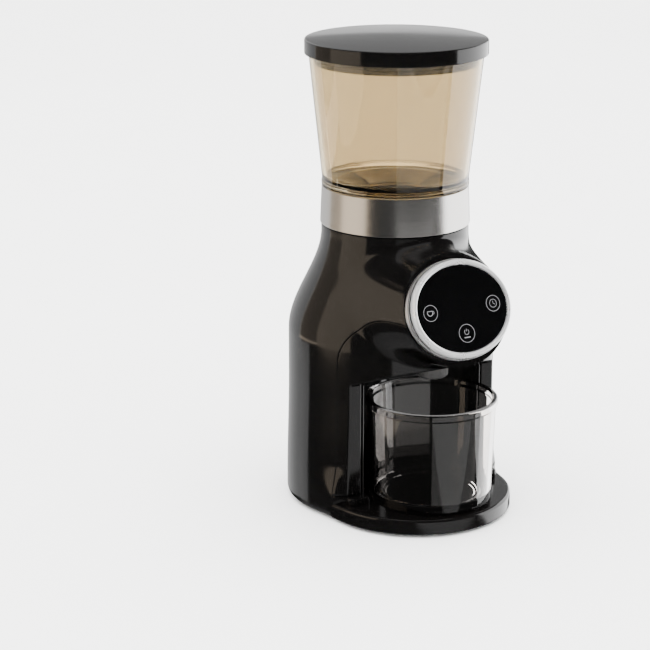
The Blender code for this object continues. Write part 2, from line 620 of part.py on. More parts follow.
def burr_chamber():
    """The casting round the burrs: a cup with an outlet in front, a bearing seat below and the neck above."""
    chamber = turn("burr_chamber", [(49.4 * MM, 221.6 * MM), (49.4 * MM, 197.3 * MM), (44.2 * MM, 197.3 * MM),
                                    (44.2 * MM, 191 * MM), (39.6 * MM, 186 * MM), (39.6 * MM, 164 * MM),
                                    (14 * MM, 164 * MM), (14 * MM, 155.5 * MM), (11.3 * MM, 155.5 * MM),
                                    (11.3 * MM, 163.3 * MM), (4.8 * MM, 163.3 * MM), (4.8 * MM, 168 * MM),
                                    (36 * MM, 168 * MM), (36 * MM, 193.6 * MM), (39 * MM, 193.6 * MM),
                                    (39 * MM, 205.4 * MM), (45.3 * MM, 205.4 * MM), (45.3 * MM, 221.6 * MM)],
                   "inner_black", segments=30)
    outlet = box("burr_chamber_outlet", (-8.5 * MM, AXIS_Y - 0.05, 168.4 * MM),
                 (8.5 * MM, AXIS_Y - 30 * MM, 176.4 * MM))
    pin = cylinder("burr_chamber_pin_hole", PIN_PLACE, PIN_RADIUS + GAP, 190 * MM, 230 * MM, segments=12)
    return cut(chamber, outlet, pin)


def interlock():
    """A pin that the hopper's foot holds down on a switch, so that the motor runs only with the hopper on."""
    cylinder("interlock_pin", PIN_PLACE, PIN_RADIUS, 186.8 * MM, 223.7 * MM, "nylon", 12)
    x, y = PIN_PLACE
    switch = box("interlock_switch", (x - 10 * MM, y - 5 * MM, 173 * MM),
                 (x + 10 * MM, y + 1.2 * MM, 181 * MM), "inner_black")
    button = box("interlock_switch_button", (x - 2 * MM, y - 1.5 * MM, 180 * MM),
                 (x + 2 * MM, y + MM, 184 * MM))
    join(switch, button)


# ---- drive -------------------------------------------------------------------------------------
def gear_outline(teeth, centre, first_tooth):
    """Involute teeth with backlash, from formulas: a point at the root, middle and tip of each flank."""
    pressure = math.radians(25)
    pitch_radius = GEAR_MODULE * teeth / 2
    base_radius = pitch_radius * math.cos(pressure)
    root = pitch_radius - 1.2 * GEAR_MODULE
    tip = pitch_radius + 0.85 * GEAR_MODULE
    half_tooth = math.pi / (2 * teeth) - 0.09 * MM / pitch_radius

    def half_angle(radius):
        slope = math.acos(min(1.0, base_radius / radius))
        return half_tooth + (math.tan(pressure) - pressure) - (math.tan(slope) - slope)

    radii = [root, pitch_radius, tip]
    points = []
    for tooth in range(teeth):
        middle = first_tooth + 2 * math.pi * tooth / teeth
        flank = [(radius, half_angle(max(radius, base_radius))) for radius in radii]
        for radius, half in flank:
            points.append((radius, middle - half))
        for radius, half in reversed(flank):
            points.append((radius, middle + half))
    return [(centre[0] + r * math.cos(a), centre[1] + r * math.sin(a)) for r, a in points]


def heading(start, end):
    return math.atan2(end[1] - start[1], end[0] - start[0])


def gears():
    """Motor pinion to a two-step idler to the gear on the burr shaft."""
    low, middle, high = 106.4 * MM, 112.4 * MM, 120.4 * MM
    to_idler = heading(MOTOR_PLACE, IDLER_PLACE)
    pinion_outline = gear_outline(PINION_TEETH, MOTOR_PLACE, to_idler)
    pinion = prism("motor_pinion", pinion_outline, low, middle, "burr_steel")
    cut(pinion, cylinder("motor_pinion_bore", MOTOR_PLACE, 2.6 * MM, 0.1, 0.12, segments=16))
    big = gear_outline(IDLER_BIG_TEETH, IDLER_PLACE, to_idler + math.pi + math.pi / IDLER_BIG_TEETH)
    idler = prism("idler_gear", big, low, middle, "nylon")
    to_output = heading(IDLER_PLACE, (0, AXIS_Y))
    small = prism("idler_gear_small", gear_outline(IDLER_SMALL_TEETH, IDLER_PLACE, to_output),
                  middle - MM, high)
    combine(idler, small, "UNION", "MANIFOLD")
    bore = cylinder("idler_gear_bore", IDLER_PLACE, 2.6 * MM, 0.1, 0.13, segments=16)
    combine(idler, bore, "DIFFERENCE", "MANIFOLD")
    phase = to_output + math.pi + math.pi / OUTPUT_TEETH
    output = prism("output_gear", gear_outline(OUTPUT_TEETH, (0, AXIS_Y), phase), middle + MM, high, "nylon")
    cut(output, cylinder("output_gear_bore", (0, AXIS_Y), SHAFT_RADIUS + 0.1 * MM, 0.1, 0.13))
    cylinder("idler_pin", IDLER_PLACE, 2.5 * MM, GEARBOX_LOW_Z + WALL + GAP, GEARBOX_HIGH_Z - GAP,
             "zinc", 16)


def hull(circles, steps=16):
    """Convex outline round several circles, each given as ((x, y), radius)."""
    rims = [arc(centre, radius, 0, 360, steps)[:-1] for centre, radius in circles]
    points = sorted({point for rim in rims for point in rim})

    def half(points):
        chain = []
        for x, y in points:
            while len(chain) > 1:
                (ax, ay), (bx, by) = chain[-2], chain[-1]
                if (bx - ax) * (y - ay) - (by - ay) * (x - ax) > 1e-12:
                    break
                chain.pop()
            chain.append((x, y))
        return chain[:-1]

    return half(points) + half(points[::-1])


def gearbox_plan(inset):
    gears_round = [((0, AXIS_Y), 26.4 * MM - inset), (IDLER_PLACE, 25 * MM - inset),
                   (MOTOR_PLACE, 24 * MM - inset)]
    return hull(gears_round + [(ear, 5.5 * MM - inset) for ear in GEARBOX_EARS])


def gearbox():
    """An open tray for the gears, its cover, the screws that hold them and the posts up to the chamber."""
    case = prism("gearbox_case", gearbox_plan(0), GEARBOX_LOW_Z, GEARBOX_HIGH_Z, "inner_black")
    inside = prism("gearbox_case_inside", gearbox_plan(2 * MM), GEARBOX_LOW_Z + WALL, 0.15)
    cut(case, inside)
    seat = turn("gearbox_case_seat", [(7.8 * MM, 110 * MM), (7.8 * MM, 104 * MM), (6.8 * MM, 104 * MM),
                                      (6.8 * MM, 110 * MM)], segments=16)
    join(case, seat)
    cut(case, cylinder("gearbox_case_motor_hole", MOTOR_PLACE, 5 * MM, 0.1, 0.11))
    for index, place in enumerate(MOTOR_SCREW_PLACES):
        cut(case, cylinder(f"gearbox_case_screw_{index}", place, 1.8 * MM, 0.1, 0.11, segments=12))
        screw(f"motor_screw_{index + 1}", place, GEARBOX_LOW_Z + WALL + GAP, 2 * MM, 2.9 * MM, 1.5 * MM,
              8 * MM, False)
    cover = prism("gearbox_cover", gearbox_plan(0), GEARBOX_HIGH_Z + GAP, GEARBOX_HIGH_Z + 2.7 * MM,
                  "inner_black")
    cut(cover, cylinder("gearbox_cover_shaft", (0, AXIS_Y), SHAFT_RADIUS + 0.6 * MM, 0.11, 0.14))
    for index, place in enumerate(GEARBOX_EARS):
        boss = cylinder(f"gearbox_case_ear_{index}", place, 3.8 * MM, 104 * MM, GEARBOX_HIGH_Z, segments=12)
        hole = cylinder(f"gearbox_case_ear_hole_{index}", place, 1.7 * MM, 108 * MM, 0.15, segments=8)
        join(case, boss)
        cut(case, hole)
        cut(cover, cylinder(f"gearbox_cover_hole_{index}", place, 1.7 * MM, 0.11, 0.15, segments=8))
        screw(f"cover_screw_{index + 1}", place, GEARBOX_HIGH_Z + 3 * MM, 2 * MM, 2.9 * MM, 1.4 * MM,
              14 * MM, False)
    for index, place in enumerate(POST_PLACES):
        cylinder(f"chamber_post_{index + 1}", place, 3.4 * MM, GEARBOX_HIGH_Z + 3 * MM, 163.7 * MM,
                 "zinc", 12)


def shaft_and_bearings():
    cylinder("burr_shaft", (0, AXIS_Y), SHAFT_RADIUS, 105.8 * MM, 203 * MM, "zinc")
    turn("upper_bearing", [(11 * MM, 163 * MM), (11 * MM, 156 * MM), (SHAFT_RADIUS + 0.08 * MM, 156 * MM),
                           (SHAFT_RADIUS + 0.08 * MM, 163 * MM)], "burr_steel", segments=24)
    turn("lower_bush", [(6.5 * MM, 110.6 * MM), (6.5 * MM, 105.8 * MM),
                        (SHAFT_RADIUS + 0.08 * MM, 105.8 * MM), (SHAFT_RADIUS + 0.08 * MM, 110.6 * MM)],
         "copper", segments=24)
    nut = turn("burr_nut", [(7.5 * MM, 201 * MM), (7.5 * MM, 196.9 * MM),
                            (SHAFT_RADIUS + 0.2 * MM, 196.9 * MM), (SHAFT_RADIUS + 0.2 * MM, 201 * MM)],
               "zinc", segments=12)
    return nut


def motor():
    """A direct-current motor: can, magnets, rotor on its shaft, and the end bell that closes it."""
    top, low = GEARBOX_LOW_Z - GAP, 38 * MM
    inner = MOTOR_RADIUS - 1.6 * MM
    can = turn("motor_can", [(MOTOR_RADIUS, top), (MOTOR_RADIUS, low), (inner, low), (inner, top - 2 * MM),
                             (2.7 * MM, top - 2 * MM), (2.7 * MM, top)], "zinc", MOTOR_PLACE, 28)
    for index, place in enumerate(MOTOR_SCREW_PLACES):
        cut(can, cylinder(f"motor_can_screw_{index}", place, 1.8 * MM, 0.09, 0.11, segments=12))
    bell = [(14 * MM, 31 * MM), (MOTOR_RADIUS, 33 * MM), (MOTOR_RADIUS, low - GAP),
            (inner - GAP, low - GAP), (inner - GAP, low + 3 * MM), (3 * MM, low + 3 * MM),
            (2.8 * MM, 33.5 * MM)]
    turn_solid("motor_end_bell", bell, "inner_black", MOTOR_PLACE, 28)
    core = inner - 3.6 * MM
    rotor = [(2.5 * MM, 34.2 * MM), (2.5 * MM, 44 * MM), (7 * MM, 44 * MM), (7 * MM, 51 * MM),
             (core, 54 * MM), (core, 92 * MM), (2.5 * MM, 95 * MM), (2.5 * MM, 113 * MM)]
    turn_solid("motor_rotor", rotor, "copper", MOTOR_PLACE, 24)
    for index, side in enumerate((0, 180)):
        outline = (arc(MOTOR_PLACE, inner - GAP, side - 62, side + 62, 12)
                   + arc(MOTOR_PLACE, inner - 3 * MM, side + 62, side - 62, 12))
        prism(f"motor_magnet_{index + 1}", outline, 50 * MM, 96 * MM, "magnet")


def power_board():
    """The board that feeds the motor, upright beside it, with its larger components."""
    x = -46 * MM
    board = box("power_board", (x, AXIS_Y + 6 * MM, 28 * MM), (x + 1.6 * MM, AXIS_Y + 48 * MM, 84 * MM),
                "board_green")
    parts = [((16, 40), (10, 12, 16)), ((34, 44), (12, 14, 20)), ((20, 66), (8, 16, 10)),
             ((38, 70), (9, 10, 14))]
    for index, ((along, height), (deep, wide, tall)) in enumerate(parts):
        low = (x + MM, AXIS_Y + (along - wide / 2) * MM, (height - tall / 2) * MM)
        high = (x + (1.6 + deep) * MM, AXIS_Y + (along + wide / 2) * MM, (height + tall / 2) * MM)
        join(board, box(f"power_board_part_{index}", low, high))
    return board


def chute():
    """The duct that takes the grounds forward and down, and the soft boot at its mouth over the bay."""
    x, y = BAY_CENTRE
    duct = box("chute", (-12 * MM, y - 8.9 * MM, 118 * MM), (12 * MM, AXIS_Y - 40.1 * MM, 180 * MM),
               "inner_black")
    spout = cylinder("chute_spout", BAY_CENTRE, 8.7 * MM, 105 * MM, 120 * MM)
    hollow = box("chute_hollow", (-10.4 * MM, y - 7.3 * MM, 119.6 * MM),
                 (10.4 * MM, AXIS_Y - 41.8 * MM, 178.4 * MM))
    bore = cylinder("chute_bore", BAY_CENTRE, 7.1 * MM, 0.09, 0.125)
    inlet = box("chute_inlet", (-8.5 * MM, AXIS_Y - 43 * MM, 168.4 * MM),
                (8.5 * MM, AXIS_Y - 39 * MM, 176.4 * MM))
    cut(join(duct, spout), hollow, bore, inlet)
    boot = [(BOOT_RADIUS, 116 * MM), (BOOT_RADIUS, 101 * MM), (9.3 * MM, 99.5 * MM),
            (8 * MM, 99.5 * MM), (9 * MM, 103 * MM), (9 * MM, 116 * MM)]
    turn("chute_boot", boot, "rubber", BAY_CENTRE, 24)


def grounds_container():
    """The clear cup that catches the grounds: a heavy base, a thin wall and a thick rim."""
    low = TRAY_TOP_Z + GAP
    top = low + CONTAINER_HEIGHT
    rim = CONTAINER_RADIUS
    base_radius = rim - 3.4 * MM
    outside = [(base_radius - 1.4 * MM, low), (base_radius, low + 1.4 * MM), (rim - 1.2 * MM, top - 5.4 * MM),
               (rim, top - 4.2 * MM), (rim, top - 1.2 * MM), (rim - 1.2 * MM, top)]
    inside = [(rim - 3.2 * MM, top), (rim - 4 * MM, top - MM), (base_radius - 2.6 * MM, low + 7 * MM),
              (base_radius - 5 * MM, low + 4.6 * MM)]
    turn_solid("grounds_container", outside + inside, "clear_plastic", BAY_CENTRE, 36)


def y_cylinder(name, place, radius, near, far, finish=None, segments=20):
    """A cylinder along Y about the line at (x, z)."""
    angles = [2 * math.pi * step / segments for step in range(segments)]
    loops = [[(place[0] + radius * math.cos(a), y, place[1] + radius * math.sin(a)) for a in angles]
             for y in (near, far)]
    return loft(name, loops, finish)


def put_origin(name, place):
    """Moves an object's origin to a point on its joint's line, and leaves its shape in place."""
    moved = bpy.data.objects[name]
    moved.data.transform(Matrix.Translation(-Vector(place)))
    moved.location = place


def put_origins():
    on_axis = ["adjust_collar", "hopper", "finger_guard", "lid", "lid_seal", "burr_carrier", "ring_burr",
               "burr_shaft", "cone_burr", "burr_nut", "impeller", "output_gear"]
    for name in on_axis:
        put_origin(name, (0, AXIS_Y, BAND_HIGH_Z))
    put_origin("idler_gear", (*IDLER_PLACE, GEARBOX_LOW_Z))
    for name in ("motor_rotor", "motor_pinion"):
        put_origin(name, (*MOTOR_PLACE, GEARBOX_LOW_Z))
    put_origin("interlock_pin", (*PIN_PLACE, BAND_HIGH_Z))
    put_origin("grounds_container", (*BAY_CENTRE, TRAY_TOP_Z))


def main():
    clear_scene()
    rear_shell()
    front_cover()
    bay_liner()
    base()
    bottom_plate()
    feet()
    bottom_screws()
    cord_gland()
    panel()
    lid()
    hopper()
    grind_setting()
    cone_burr()
    impeller()
    burr_chamber()
    interlock()
    gears()
    gearbox()
    shaft_and_bearings()
    motor()
    power_board()
    chute()
    grounds_container()
    put_origins()


main()
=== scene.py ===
"""Looks of the burr coffee grinder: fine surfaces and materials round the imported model, a pale studio
floor, soft light, and the camera. Metres, +Z up, the front faces -Y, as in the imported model."""

import json
import math

import bmesh
import bpy
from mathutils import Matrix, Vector


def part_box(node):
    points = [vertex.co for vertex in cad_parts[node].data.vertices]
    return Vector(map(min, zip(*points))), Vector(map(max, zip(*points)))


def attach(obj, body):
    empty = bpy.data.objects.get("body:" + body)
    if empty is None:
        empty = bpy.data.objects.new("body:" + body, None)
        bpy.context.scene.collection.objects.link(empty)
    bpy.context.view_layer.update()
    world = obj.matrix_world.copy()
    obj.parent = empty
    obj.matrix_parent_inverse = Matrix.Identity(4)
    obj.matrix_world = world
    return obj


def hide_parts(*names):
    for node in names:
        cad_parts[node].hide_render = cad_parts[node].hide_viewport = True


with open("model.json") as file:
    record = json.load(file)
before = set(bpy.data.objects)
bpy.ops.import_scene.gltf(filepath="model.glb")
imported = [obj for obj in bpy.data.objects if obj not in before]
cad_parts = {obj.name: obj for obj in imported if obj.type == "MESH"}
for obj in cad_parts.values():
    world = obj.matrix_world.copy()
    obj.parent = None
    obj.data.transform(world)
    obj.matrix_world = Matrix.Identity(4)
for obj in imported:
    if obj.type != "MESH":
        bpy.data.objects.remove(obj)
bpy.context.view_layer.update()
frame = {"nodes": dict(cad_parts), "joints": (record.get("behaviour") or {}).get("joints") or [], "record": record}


MM = 0.001

# ---- driving dimensions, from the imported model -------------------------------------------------
AXIS_Y = next(joint["pos_m"][1] for joint in frame["joints"] if joint["name"] == "burr_spin")
SHELL_LOW, SHELL_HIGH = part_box("rear_shell")
BAND_LOW, BAND_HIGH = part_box("trim_band")
TRAY_LOW, TRAY_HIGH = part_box("base")
CUP_LOW, CUP_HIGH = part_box("grounds_container")
BAY_Y = (CUP_LOW.y + CUP_HIGH.y) / 2

FLOOR_LIGHT = 17.0  # W/m2 on the floor

# Shape of the tower: a round column, wide below and drawn in to the neck, with a nose for the panel.
GAP = 0.3 * MM
NECK_RADIUS = 50.5 * MM
BODY_RADIUS = 71.3 * MM
BODY_SETBACK = 4.0 * MM
FOOT_RADIUS = BODY_RADIUS + 1.3 * MM
FLARE_LOW_Z, FLARE_TOP_Z = 14 * MM, 90 * MM
WIDENING_TOP_Z = 40 * MM
SHOULDER_LOW_Z, SHOULDER_HIGH_Z = 121 * MM, 192 * MM
TILT = math.radians(21)
PANEL_FORWARD = 85 * MM
PANEL_Z = 155.5 * MM
GLASS_HALF = (35.2 * MM, 29.2 * MM)
BEZEL_HALF = (37.8 * MM, 32.9 * MM)
RING_HALF = (39.9 * MM, 34.0 * MM)
NOSE_HALF = (40.5 * MM, 38.5 * MM)
NOSE_BACK = 7.5 * MM
PILLAR_FORWARD = 37.5 * MM
PILLAR_Y = AXIS_Y - PILLAR_FORWARD
PILLAR_TOP_Z = 98 * MM
HEAD_LOW_Z = 106 * MM
SEAM_FORWARD = 29.6 * MM
SEAM_TOP_Z = 147.7 * MM
SEAM_CORNER = 37 * MM
SEAM_ROLL = 0.45 * MM
SEAM_ROLL_DEPTH = 2.2 * MM
BAY_RADIUS = 48 * MM
LINER_WALL = 1.8 * MM
TRAY_FORWARD = 29.4 * MM
TRAY_RADIUS = 66.3 * MM
TRAY_TOP_Z = 12.9 * MM
LEDGE_Z = TRAY_HIGH.z
LEDGE_FORWARD = 43.5 * MM
RECESS_RADIUS = 37.5 * MM
RECESS_Z = TRAY_TOP_Z - 1.2 * MM
BASE_REAR_INSET = 5.2 * MM  # behind the seam the base stands inside the rear shell
BOOT_RADIUS = 11.2 * MM
GLAND_RADIUS = 5.4 * MM

PANEL_NORMAL = Vector((0, -math.cos(TILT), math.sin(TILT)))
PANEL_UP = Vector((0, math.sin(TILT), math.cos(TILT)))
PANEL_CENTRE = Vector((0, AXIS_Y - PANEL_FORWARD, PANEL_Z))
NOSE_RIM = PANEL_CENTRE - PANEL_NORMAL * NOSE_BACK


# ---- materials ---------------------------------------------------------------------------------
class Finish:
    """A Principled material and short calls that add procedural detail to it."""

    def __init__(self, name, colour, roughness, metallic=0.0, **constants):
        self.material = bpy.data.materials.new(name)
        self.material.use_nodes = True
        self.tree = self.material.node_tree
        self.shader = self.tree.nodes["Principled BSDF"]
        self.set("Base Color", (*colour, 1))
        self.set("Roughness", roughness)
        self.set("Metallic", metallic)
        for socket, value in constants.items():
            self.set(socket.replace("_", " "), value)
        self.place = self.node("ShaderNodeTexCoord").outputs["Object"]

    def set(self, socket, value):
        self.shader.inputs[socket].default_value = value

    def node(self, kind, **settings):
        made = self.tree.nodes.new(kind)
        for name, value in settings.items():
            setattr(made, name, value)
        return made

    def link(self, out, into):
        self.tree.links.new(out, into)

    def noise(self, scale, detail=3.0, coordinates=None):
        made = self.node("ShaderNodeTexNoise")
        made.inputs["Scale"].default_value = scale
        made.inputs["Detail"].default_value = detail
        self.link(coordinates or self.place, made.inputs["Vector"])
        return made.outputs["Fac"]

    def ramp(self, value, first, last):
        """Maps the middle range of a noise to the colours or numbers from first to last."""
        made = self.node("ShaderNodeValToRGB")
        ends = made.color_ramp.elements
        ends[0].position, ends[1].position = 0.3, 0.7
        for end, shade in ((ends[0], first), (ends[1], last)):
            end.color = (*shade, 1) if isinstance(shade, tuple) else (shade, shade, shade, 1)
        self.link(value, made.inputs["Fac"])
        return made.outputs["Color"]

    def vary_roughness(self, value, low, high):
        self.link(self.ramp(value, low, high), self.shader.inputs["Roughness"])

    def vary_colour(self, value, first, last):
        self.link(self.ramp(value, first, last), self.shader.inputs["Base Color"])

    def bump(self, value, depth, strength):
        """Raises the surface by up to depth metres, weakened by the strength."""
        made = self.node("ShaderNodeBump")
        made.inputs["Strength"].default_value = strength
        made.inputs["Distance"].default_value = depth
        self.link(value, made.inputs["Height"])
        self.link(made.outputs["Normal"], self.shader.inputs["Normal"])

    def round_the_axis(self, along, upward):
        """Coordinates that wrap round the burr axis, stretched by a factor each way."""
        parts = self.node("ShaderNodeSeparateXYZ")
        self.link(self.place, parts.inputs[0])
        behind = self.node("ShaderNodeMath", operation="SUBTRACT")
        behind.inputs[1].default_value = AXIS_Y
        self.link(parts.outputs["Y"], behind.inputs[0])
        angle = self.node("ShaderNodeMath", operation="ARCTAN2")
        self.link(behind.outputs[0], angle.inputs[0])
        self.link(parts.outputs["X"], angle.inputs[1])
        wound = self.node("ShaderNodeMath", operation="MULTIPLY")
        wound.inputs[1].default_value = along
        self.link(angle.outputs[0], wound.inputs[0])
        raised = self.node("ShaderNodeMath", operation="MULTIPLY")
        raised.inputs[1].default_value = upward
        self.link(parts.outputs["Z"], raised.inputs[0])
        joined = self.node("ShaderNodeCombineXYZ")
        self.link(wound.outputs[0], joined.inputs["X"])
        self.link(raised.outputs[0], joined.inputs["Y"])
        return joined.outputs[0]


def gloss_black():
    """Polished black moulding: deep colour, faint haze where it was wiped, and slight waviness."""
    finish = Finish("gloss_black", (0.0016, 0.0015, 0.0015), 0.08, Specular_IOR_Level=0.5)
    finish.vary_roughness(finish.noise(38, 4), 0.085, 0.135)
    finish.vary_colour(finish.noise(9), (0.0011, 0.001, 0.001), (0.0022, 0.002, 0.0019))
    finish.bump(finish.noise(55, 1), 0.00002, 0.3)
    return finish.material


def inner_black():
    """Spark-eroded matt black plastic."""
    finish = Finish("inner_black", (0.02, 0.02, 0.02), 0.5)
    grain = finish.noise(1800, 2)
    finish.vary_roughness(grain, 0.4, 0.62)
    finish.vary_colour(finish.noise(25), (0.014, 0.014, 0.014), (0.03, 0.029, 0.028))
    finish.bump(grain, 0.00006, 0.6)
    return finish.material


def brushed_steel():
    """Stainless steel brushed round the neck."""
    finish = Finish("brushed_steel", (0.7, 0.68, 0.65), 0.2, 1.0, Anisotropic=0.55)
    lines = finish.noise(1.0, 4, finish.round_the_axis(5, 5200))
    finish.vary_roughness(lines, 0.16, 0.26)
    finish.vary_colour(lines, (0.68, 0.66, 0.63), (0.78, 0.76, 0.73))
    finish.bump(lines, 0.000004, 0.25)
    return finish.material


def satin_chrome():
    """Silver paint over plastic: nearly a mirror, with a little pale pigment."""
    finish = Finish("satin_chrome", (0.8, 0.795, 0.785), 0.3, 0.98)
    finish.vary_roughness(finish.noise(90, 2), 0.26, 0.34)
    finish.vary_colour(finish.noise(30), (0.77, 0.765, 0.755), (0.83, 0.825, 0.815))
    return finish.material


def bright_silver():
    """The bezel's silver paint, more powdery than the ring's, and made paler and less metallic than the ring's so
    that a painted sheen stands in for reflections of a bright surround.
    """
    finish = Finish("bright_silver", (0.9, 0.9, 0.895), 0.3, 0.8)
    finish.vary_roughness(finish.noise(90, 2), 0.26, 0.34)
    finish.vary_colour(finish.noise(30), (0.87, 0.87, 0.865), (0.93, 0.93, 0.925))
    return finish.material


def ground_steel():
    """Hardened burr steel with fine grinding marks."""
    finish = Finish("ground_steel", (0.42, 0.42, 0.43), 0.33, 1.0)
    marks = finish.noise(1.0, 3, finish.round_the_axis(9, 2600))
    finish.vary_roughness(marks, 0.26, 0.42)
    finish.vary_colour(marks, (0.36, 0.36, 0.37), (0.5, 0.5, 0.51))
    return finish.material


def zinc():
    finish = Finish("zinc", (0.55, 0.56, 0.58), 0.34, 1.0)
    finish.vary_roughness(finish.noise(240, 4), 0.28, 0.46)
    finish.vary_colour(finish.noise(60), (0.48, 0.49, 0.5), (0.62, 0.62, 0.6))
    return finish.material


def touch_glass_black():
    finish = Finish("touch_glass_black", (0.0006, 0.0006, 0.0007), 0.03, Specular_IOR_Level=0.45)
    finish.vary_roughness(finish.noise(60, 4), 0.02, 0.05)
    finish.vary_colour(finish.noise(14), (0.0005, 0.0005, 0.0006), (0.0008, 0.0008, 0.0009))
    return finish.material


def icon_white():
    """White print under the glass, lit a little from behind."""
    finish = Finish("icon_white", (0.1, 0.1, 0.105), 0.35, Emission_Strength=0.12)
    finish.set("Emission Color", (0.85, 0.88, 0.92, 1))
    finish.vary_colour(finish.noise(900), (0.08, 0.08, 0.085), (0.12, 0.12, 0.125))
    return finish.material


def smoked_plastic():
    """The hopper's clear plastic with an amber smoke tint."""
    finish = Finish("smoked_plastic", (0.47, 0.385, 0.25), 0.03, Transmission_Weight=1.0, IOR=1.49)
    finish.vary_roughness(finish.noise(45, 3), 0.02, 0.045)
    finish.vary_colour(finish.noise(7), (0.45, 0.365, 0.235), (0.49, 0.405, 0.265))
    return finish.material


def clear_plastic():
    finish = Finish("clear_plastic", (0.95, 0.905, 0.87), 0.03, Transmission_Weight=1.0, IOR=1.5)
    finish.vary_roughness(finish.noise(50, 3), 0.015, 0.045)
    finish.vary_colour(finish.noise(11), (0.93, 0.88, 0.84), (0.965, 0.925, 0.895))
    return finish.material


def rubber():
    finish = Finish("rubber", (0.022, 0.022, 0.022), 0.75)
    dust = finish.noise(160, 4)
    finish.vary_roughness(dust, 0.65, 0.85)
    finish.vary_colour(dust, (0.016, 0.016, 0.016), (0.034, 0.033, 0.032))
    finish.bump(finish.noise(2200), 0.00005, 0.5)
    return finish.material


def nylon():
    finish = Finish("nylon", (0.3, 0.29, 0.26), 0.42, Subsurface_Weight=0.12)
    finish.set("Subsurface Radius", (0.002, 0.0018, 0.0012))
    finish.vary_roughness(finish.noise(300, 3), 0.36, 0.52)
    finish.vary_colour(finish.noise(40), (0.27, 0.26, 0.23), (0.33, 0.32, 0.29))
    return finish.material


def board_green():
    """Circuit board under solder mask, with a weave just showing."""
    finish = Finish("board_green", (0.02, 0.13, 0.05), 0.4)
    finish.vary_roughness(finish.noise(200), 0.3, 0.5)
    finish.vary_colour(finish.noise(500, 2), (0.014, 0.1, 0.035), (0.03, 0.17, 0.07))
    return finish.material


def ferrite():
    finish = Finish("ferrite", (0.07, 0.07, 0.07), 0.6, 0.2)
    finish.vary_roughness(finish.noise(500, 4), 0.5, 0.75)
    finish.vary_colour(finish.noise(120), (0.05, 0.05, 0.05), (0.1, 0.1, 0.098))
    return finish.material


def copper():
    finish = Finish("copper", (0.55, 0.25, 0.12), 0.33, 1.0)
    finish.vary_roughness(finish.noise(350, 3), 0.26, 0.45)
    finish.vary_colour(finish.noise(50), (0.47, 0.2, 0.09), (0.62, 0.3, 0.15))
    return finish.material


def studio_floor():
    finish = Finish("studio_floor", (0.86, 0.86, 0.855), 0.6)
    finish.vary_colour(finish.noise(3), (0.855, 0.855, 0.85), (0.87, 0.87, 0.865))
    finish.vary_roughness(finish.noise(30), 0.55, 0.7)
    return finish.material


MATERIALS = {
    "gloss_black": gloss_black(), "inner_black": inner_black(), "steel": brushed_steel(),
    "burr_steel": ground_steel(), "satin_chrome": satin_chrome(), "glass_black": touch_glass_black(),
    "smoked_plastic": smoked_plastic(), "clear_plastic": clear_plastic(), "rubber": rubber(),
    "nylon": nylon(), "board_green": board_green(), "magnet": ferrite(), "copper": copper(), "zinc": zinc(),
}


def dress_cad_nodes():
    """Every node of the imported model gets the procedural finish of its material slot."""
    for part in frame["record"]["subparts"]:
        slots = frame["nodes"][part["node"]].data.materials
        slots.clear()
        slots.append(MATERIALS[part["material_slot"]])


# ---- mesh helpers ------------------------------------------------------------------------------
def linked(name, data):
    """A new object of the data, in the scene."""
    made = bpy.data.objects.new(name, data)
    bpy.context.scene.collection.objects.link(made)
    return made


class Skin:
    """Collects points and faces of one piece, then makes a smooth object of them."""

    def __init__(self):
        self.points = []
        self.faces = []

    def rows(self, rows, wrap=False, around=False):
        """Quads between equally long rows.

        Wrap joins each row's ends, around joins the last row to the first.
        """
        first, count = len(self.points), len(rows[0])
        for row in rows:
            self.points.extend(Vector(point) for point in row)
        for r in range(len(rows) if around else len(rows) - 1):
            low, high = first + r * count, first + (r + 1) % len(rows) * count
            for i in range(count if wrap else count - 1):
                j = (i + 1) % count
                self.faces.append((low + i, low + j, high + j, high + i))

    def face(self, loop):
        first = len(self.points)
        self.points.extend(Vector(point) for point in loop)
        self.faces.append(tuple(range(first, first + len(loop))))

    def plate(self, *loops):
        """A flat face inside the first loop, with the other loops as holes."""
        shape = bmesh.new()
        for loop in loops:
            corners = [shape.verts.new(point) for point in loop]
            for a, b in zip(corners, corners[1:] + corners[:1]):
                shape.edges.new((a, b))
        bmesh.ops.triangle_fill(shape, use_beauty=True, use_dissolve=False, edges=shape.edges)
        shape.verts.index_update()
        first = len(self.points)
        self.points.extend(corner.co.copy() for corner in shape.verts)
        self.faces.extend(tuple(first + c.index for c in face.verts) for face in shape.faces)
        shape.free()

    def bare(self, name):
        """The collected faces as they are, in an object without a material."""
        mesh = bpy.data.meshes.new(name)
        mesh.from_pydata(self.points, [], self.faces)
        return linked(name, mesh)

    def make(self, name, slot, body, *nodes, wall=0.0, outward=None, sharp=40):
        """The finished object.

        A wall thickens an open skin inwards; outward is the way that its farthest face looks.
        """
        shape = bmesh.new()
        corners = [shape.verts.new(point) for point in self.points]
        shape.verts.ensure_lookup_table()
        for face in self.faces:
            shape.faces.new([corners[i] for i in face])
        bmesh.ops.remove_doubles(shape, verts=shape.verts, dist=0.000002)
        bmesh.ops.recalc_face_normals(shape, faces=shape.faces)
        if outward:
            shape.faces.ensure_lookup_table()
            tip = max(shape.faces, key=lambda face: face.calc_center_median().dot(outward))
            if tip.normal.dot(outward) < 0:
                bmesh.ops.reverse_faces(shape, faces=shape.faces)
        mesh = bpy.data.meshes.new(name)
        shape.to_mesh(mesh)
        shape.free()
        made = linked(name, mesh)
        mesh.materials.append(MATERIALS[slot])
        mesh.shade_smooth()
        mesh.set_sharp_from_angle(angle=math.radians(sharp))
        if wall:
            thick = made.modifiers.new("wall", "SOLIDIFY")
            thick.thickness = wall
            thick.offset = -1
        made.modifiers.new("even_shading", "WEIGHTED_NORMAL").keep_sharp = True
        return settle(made, slot, body, *nodes)


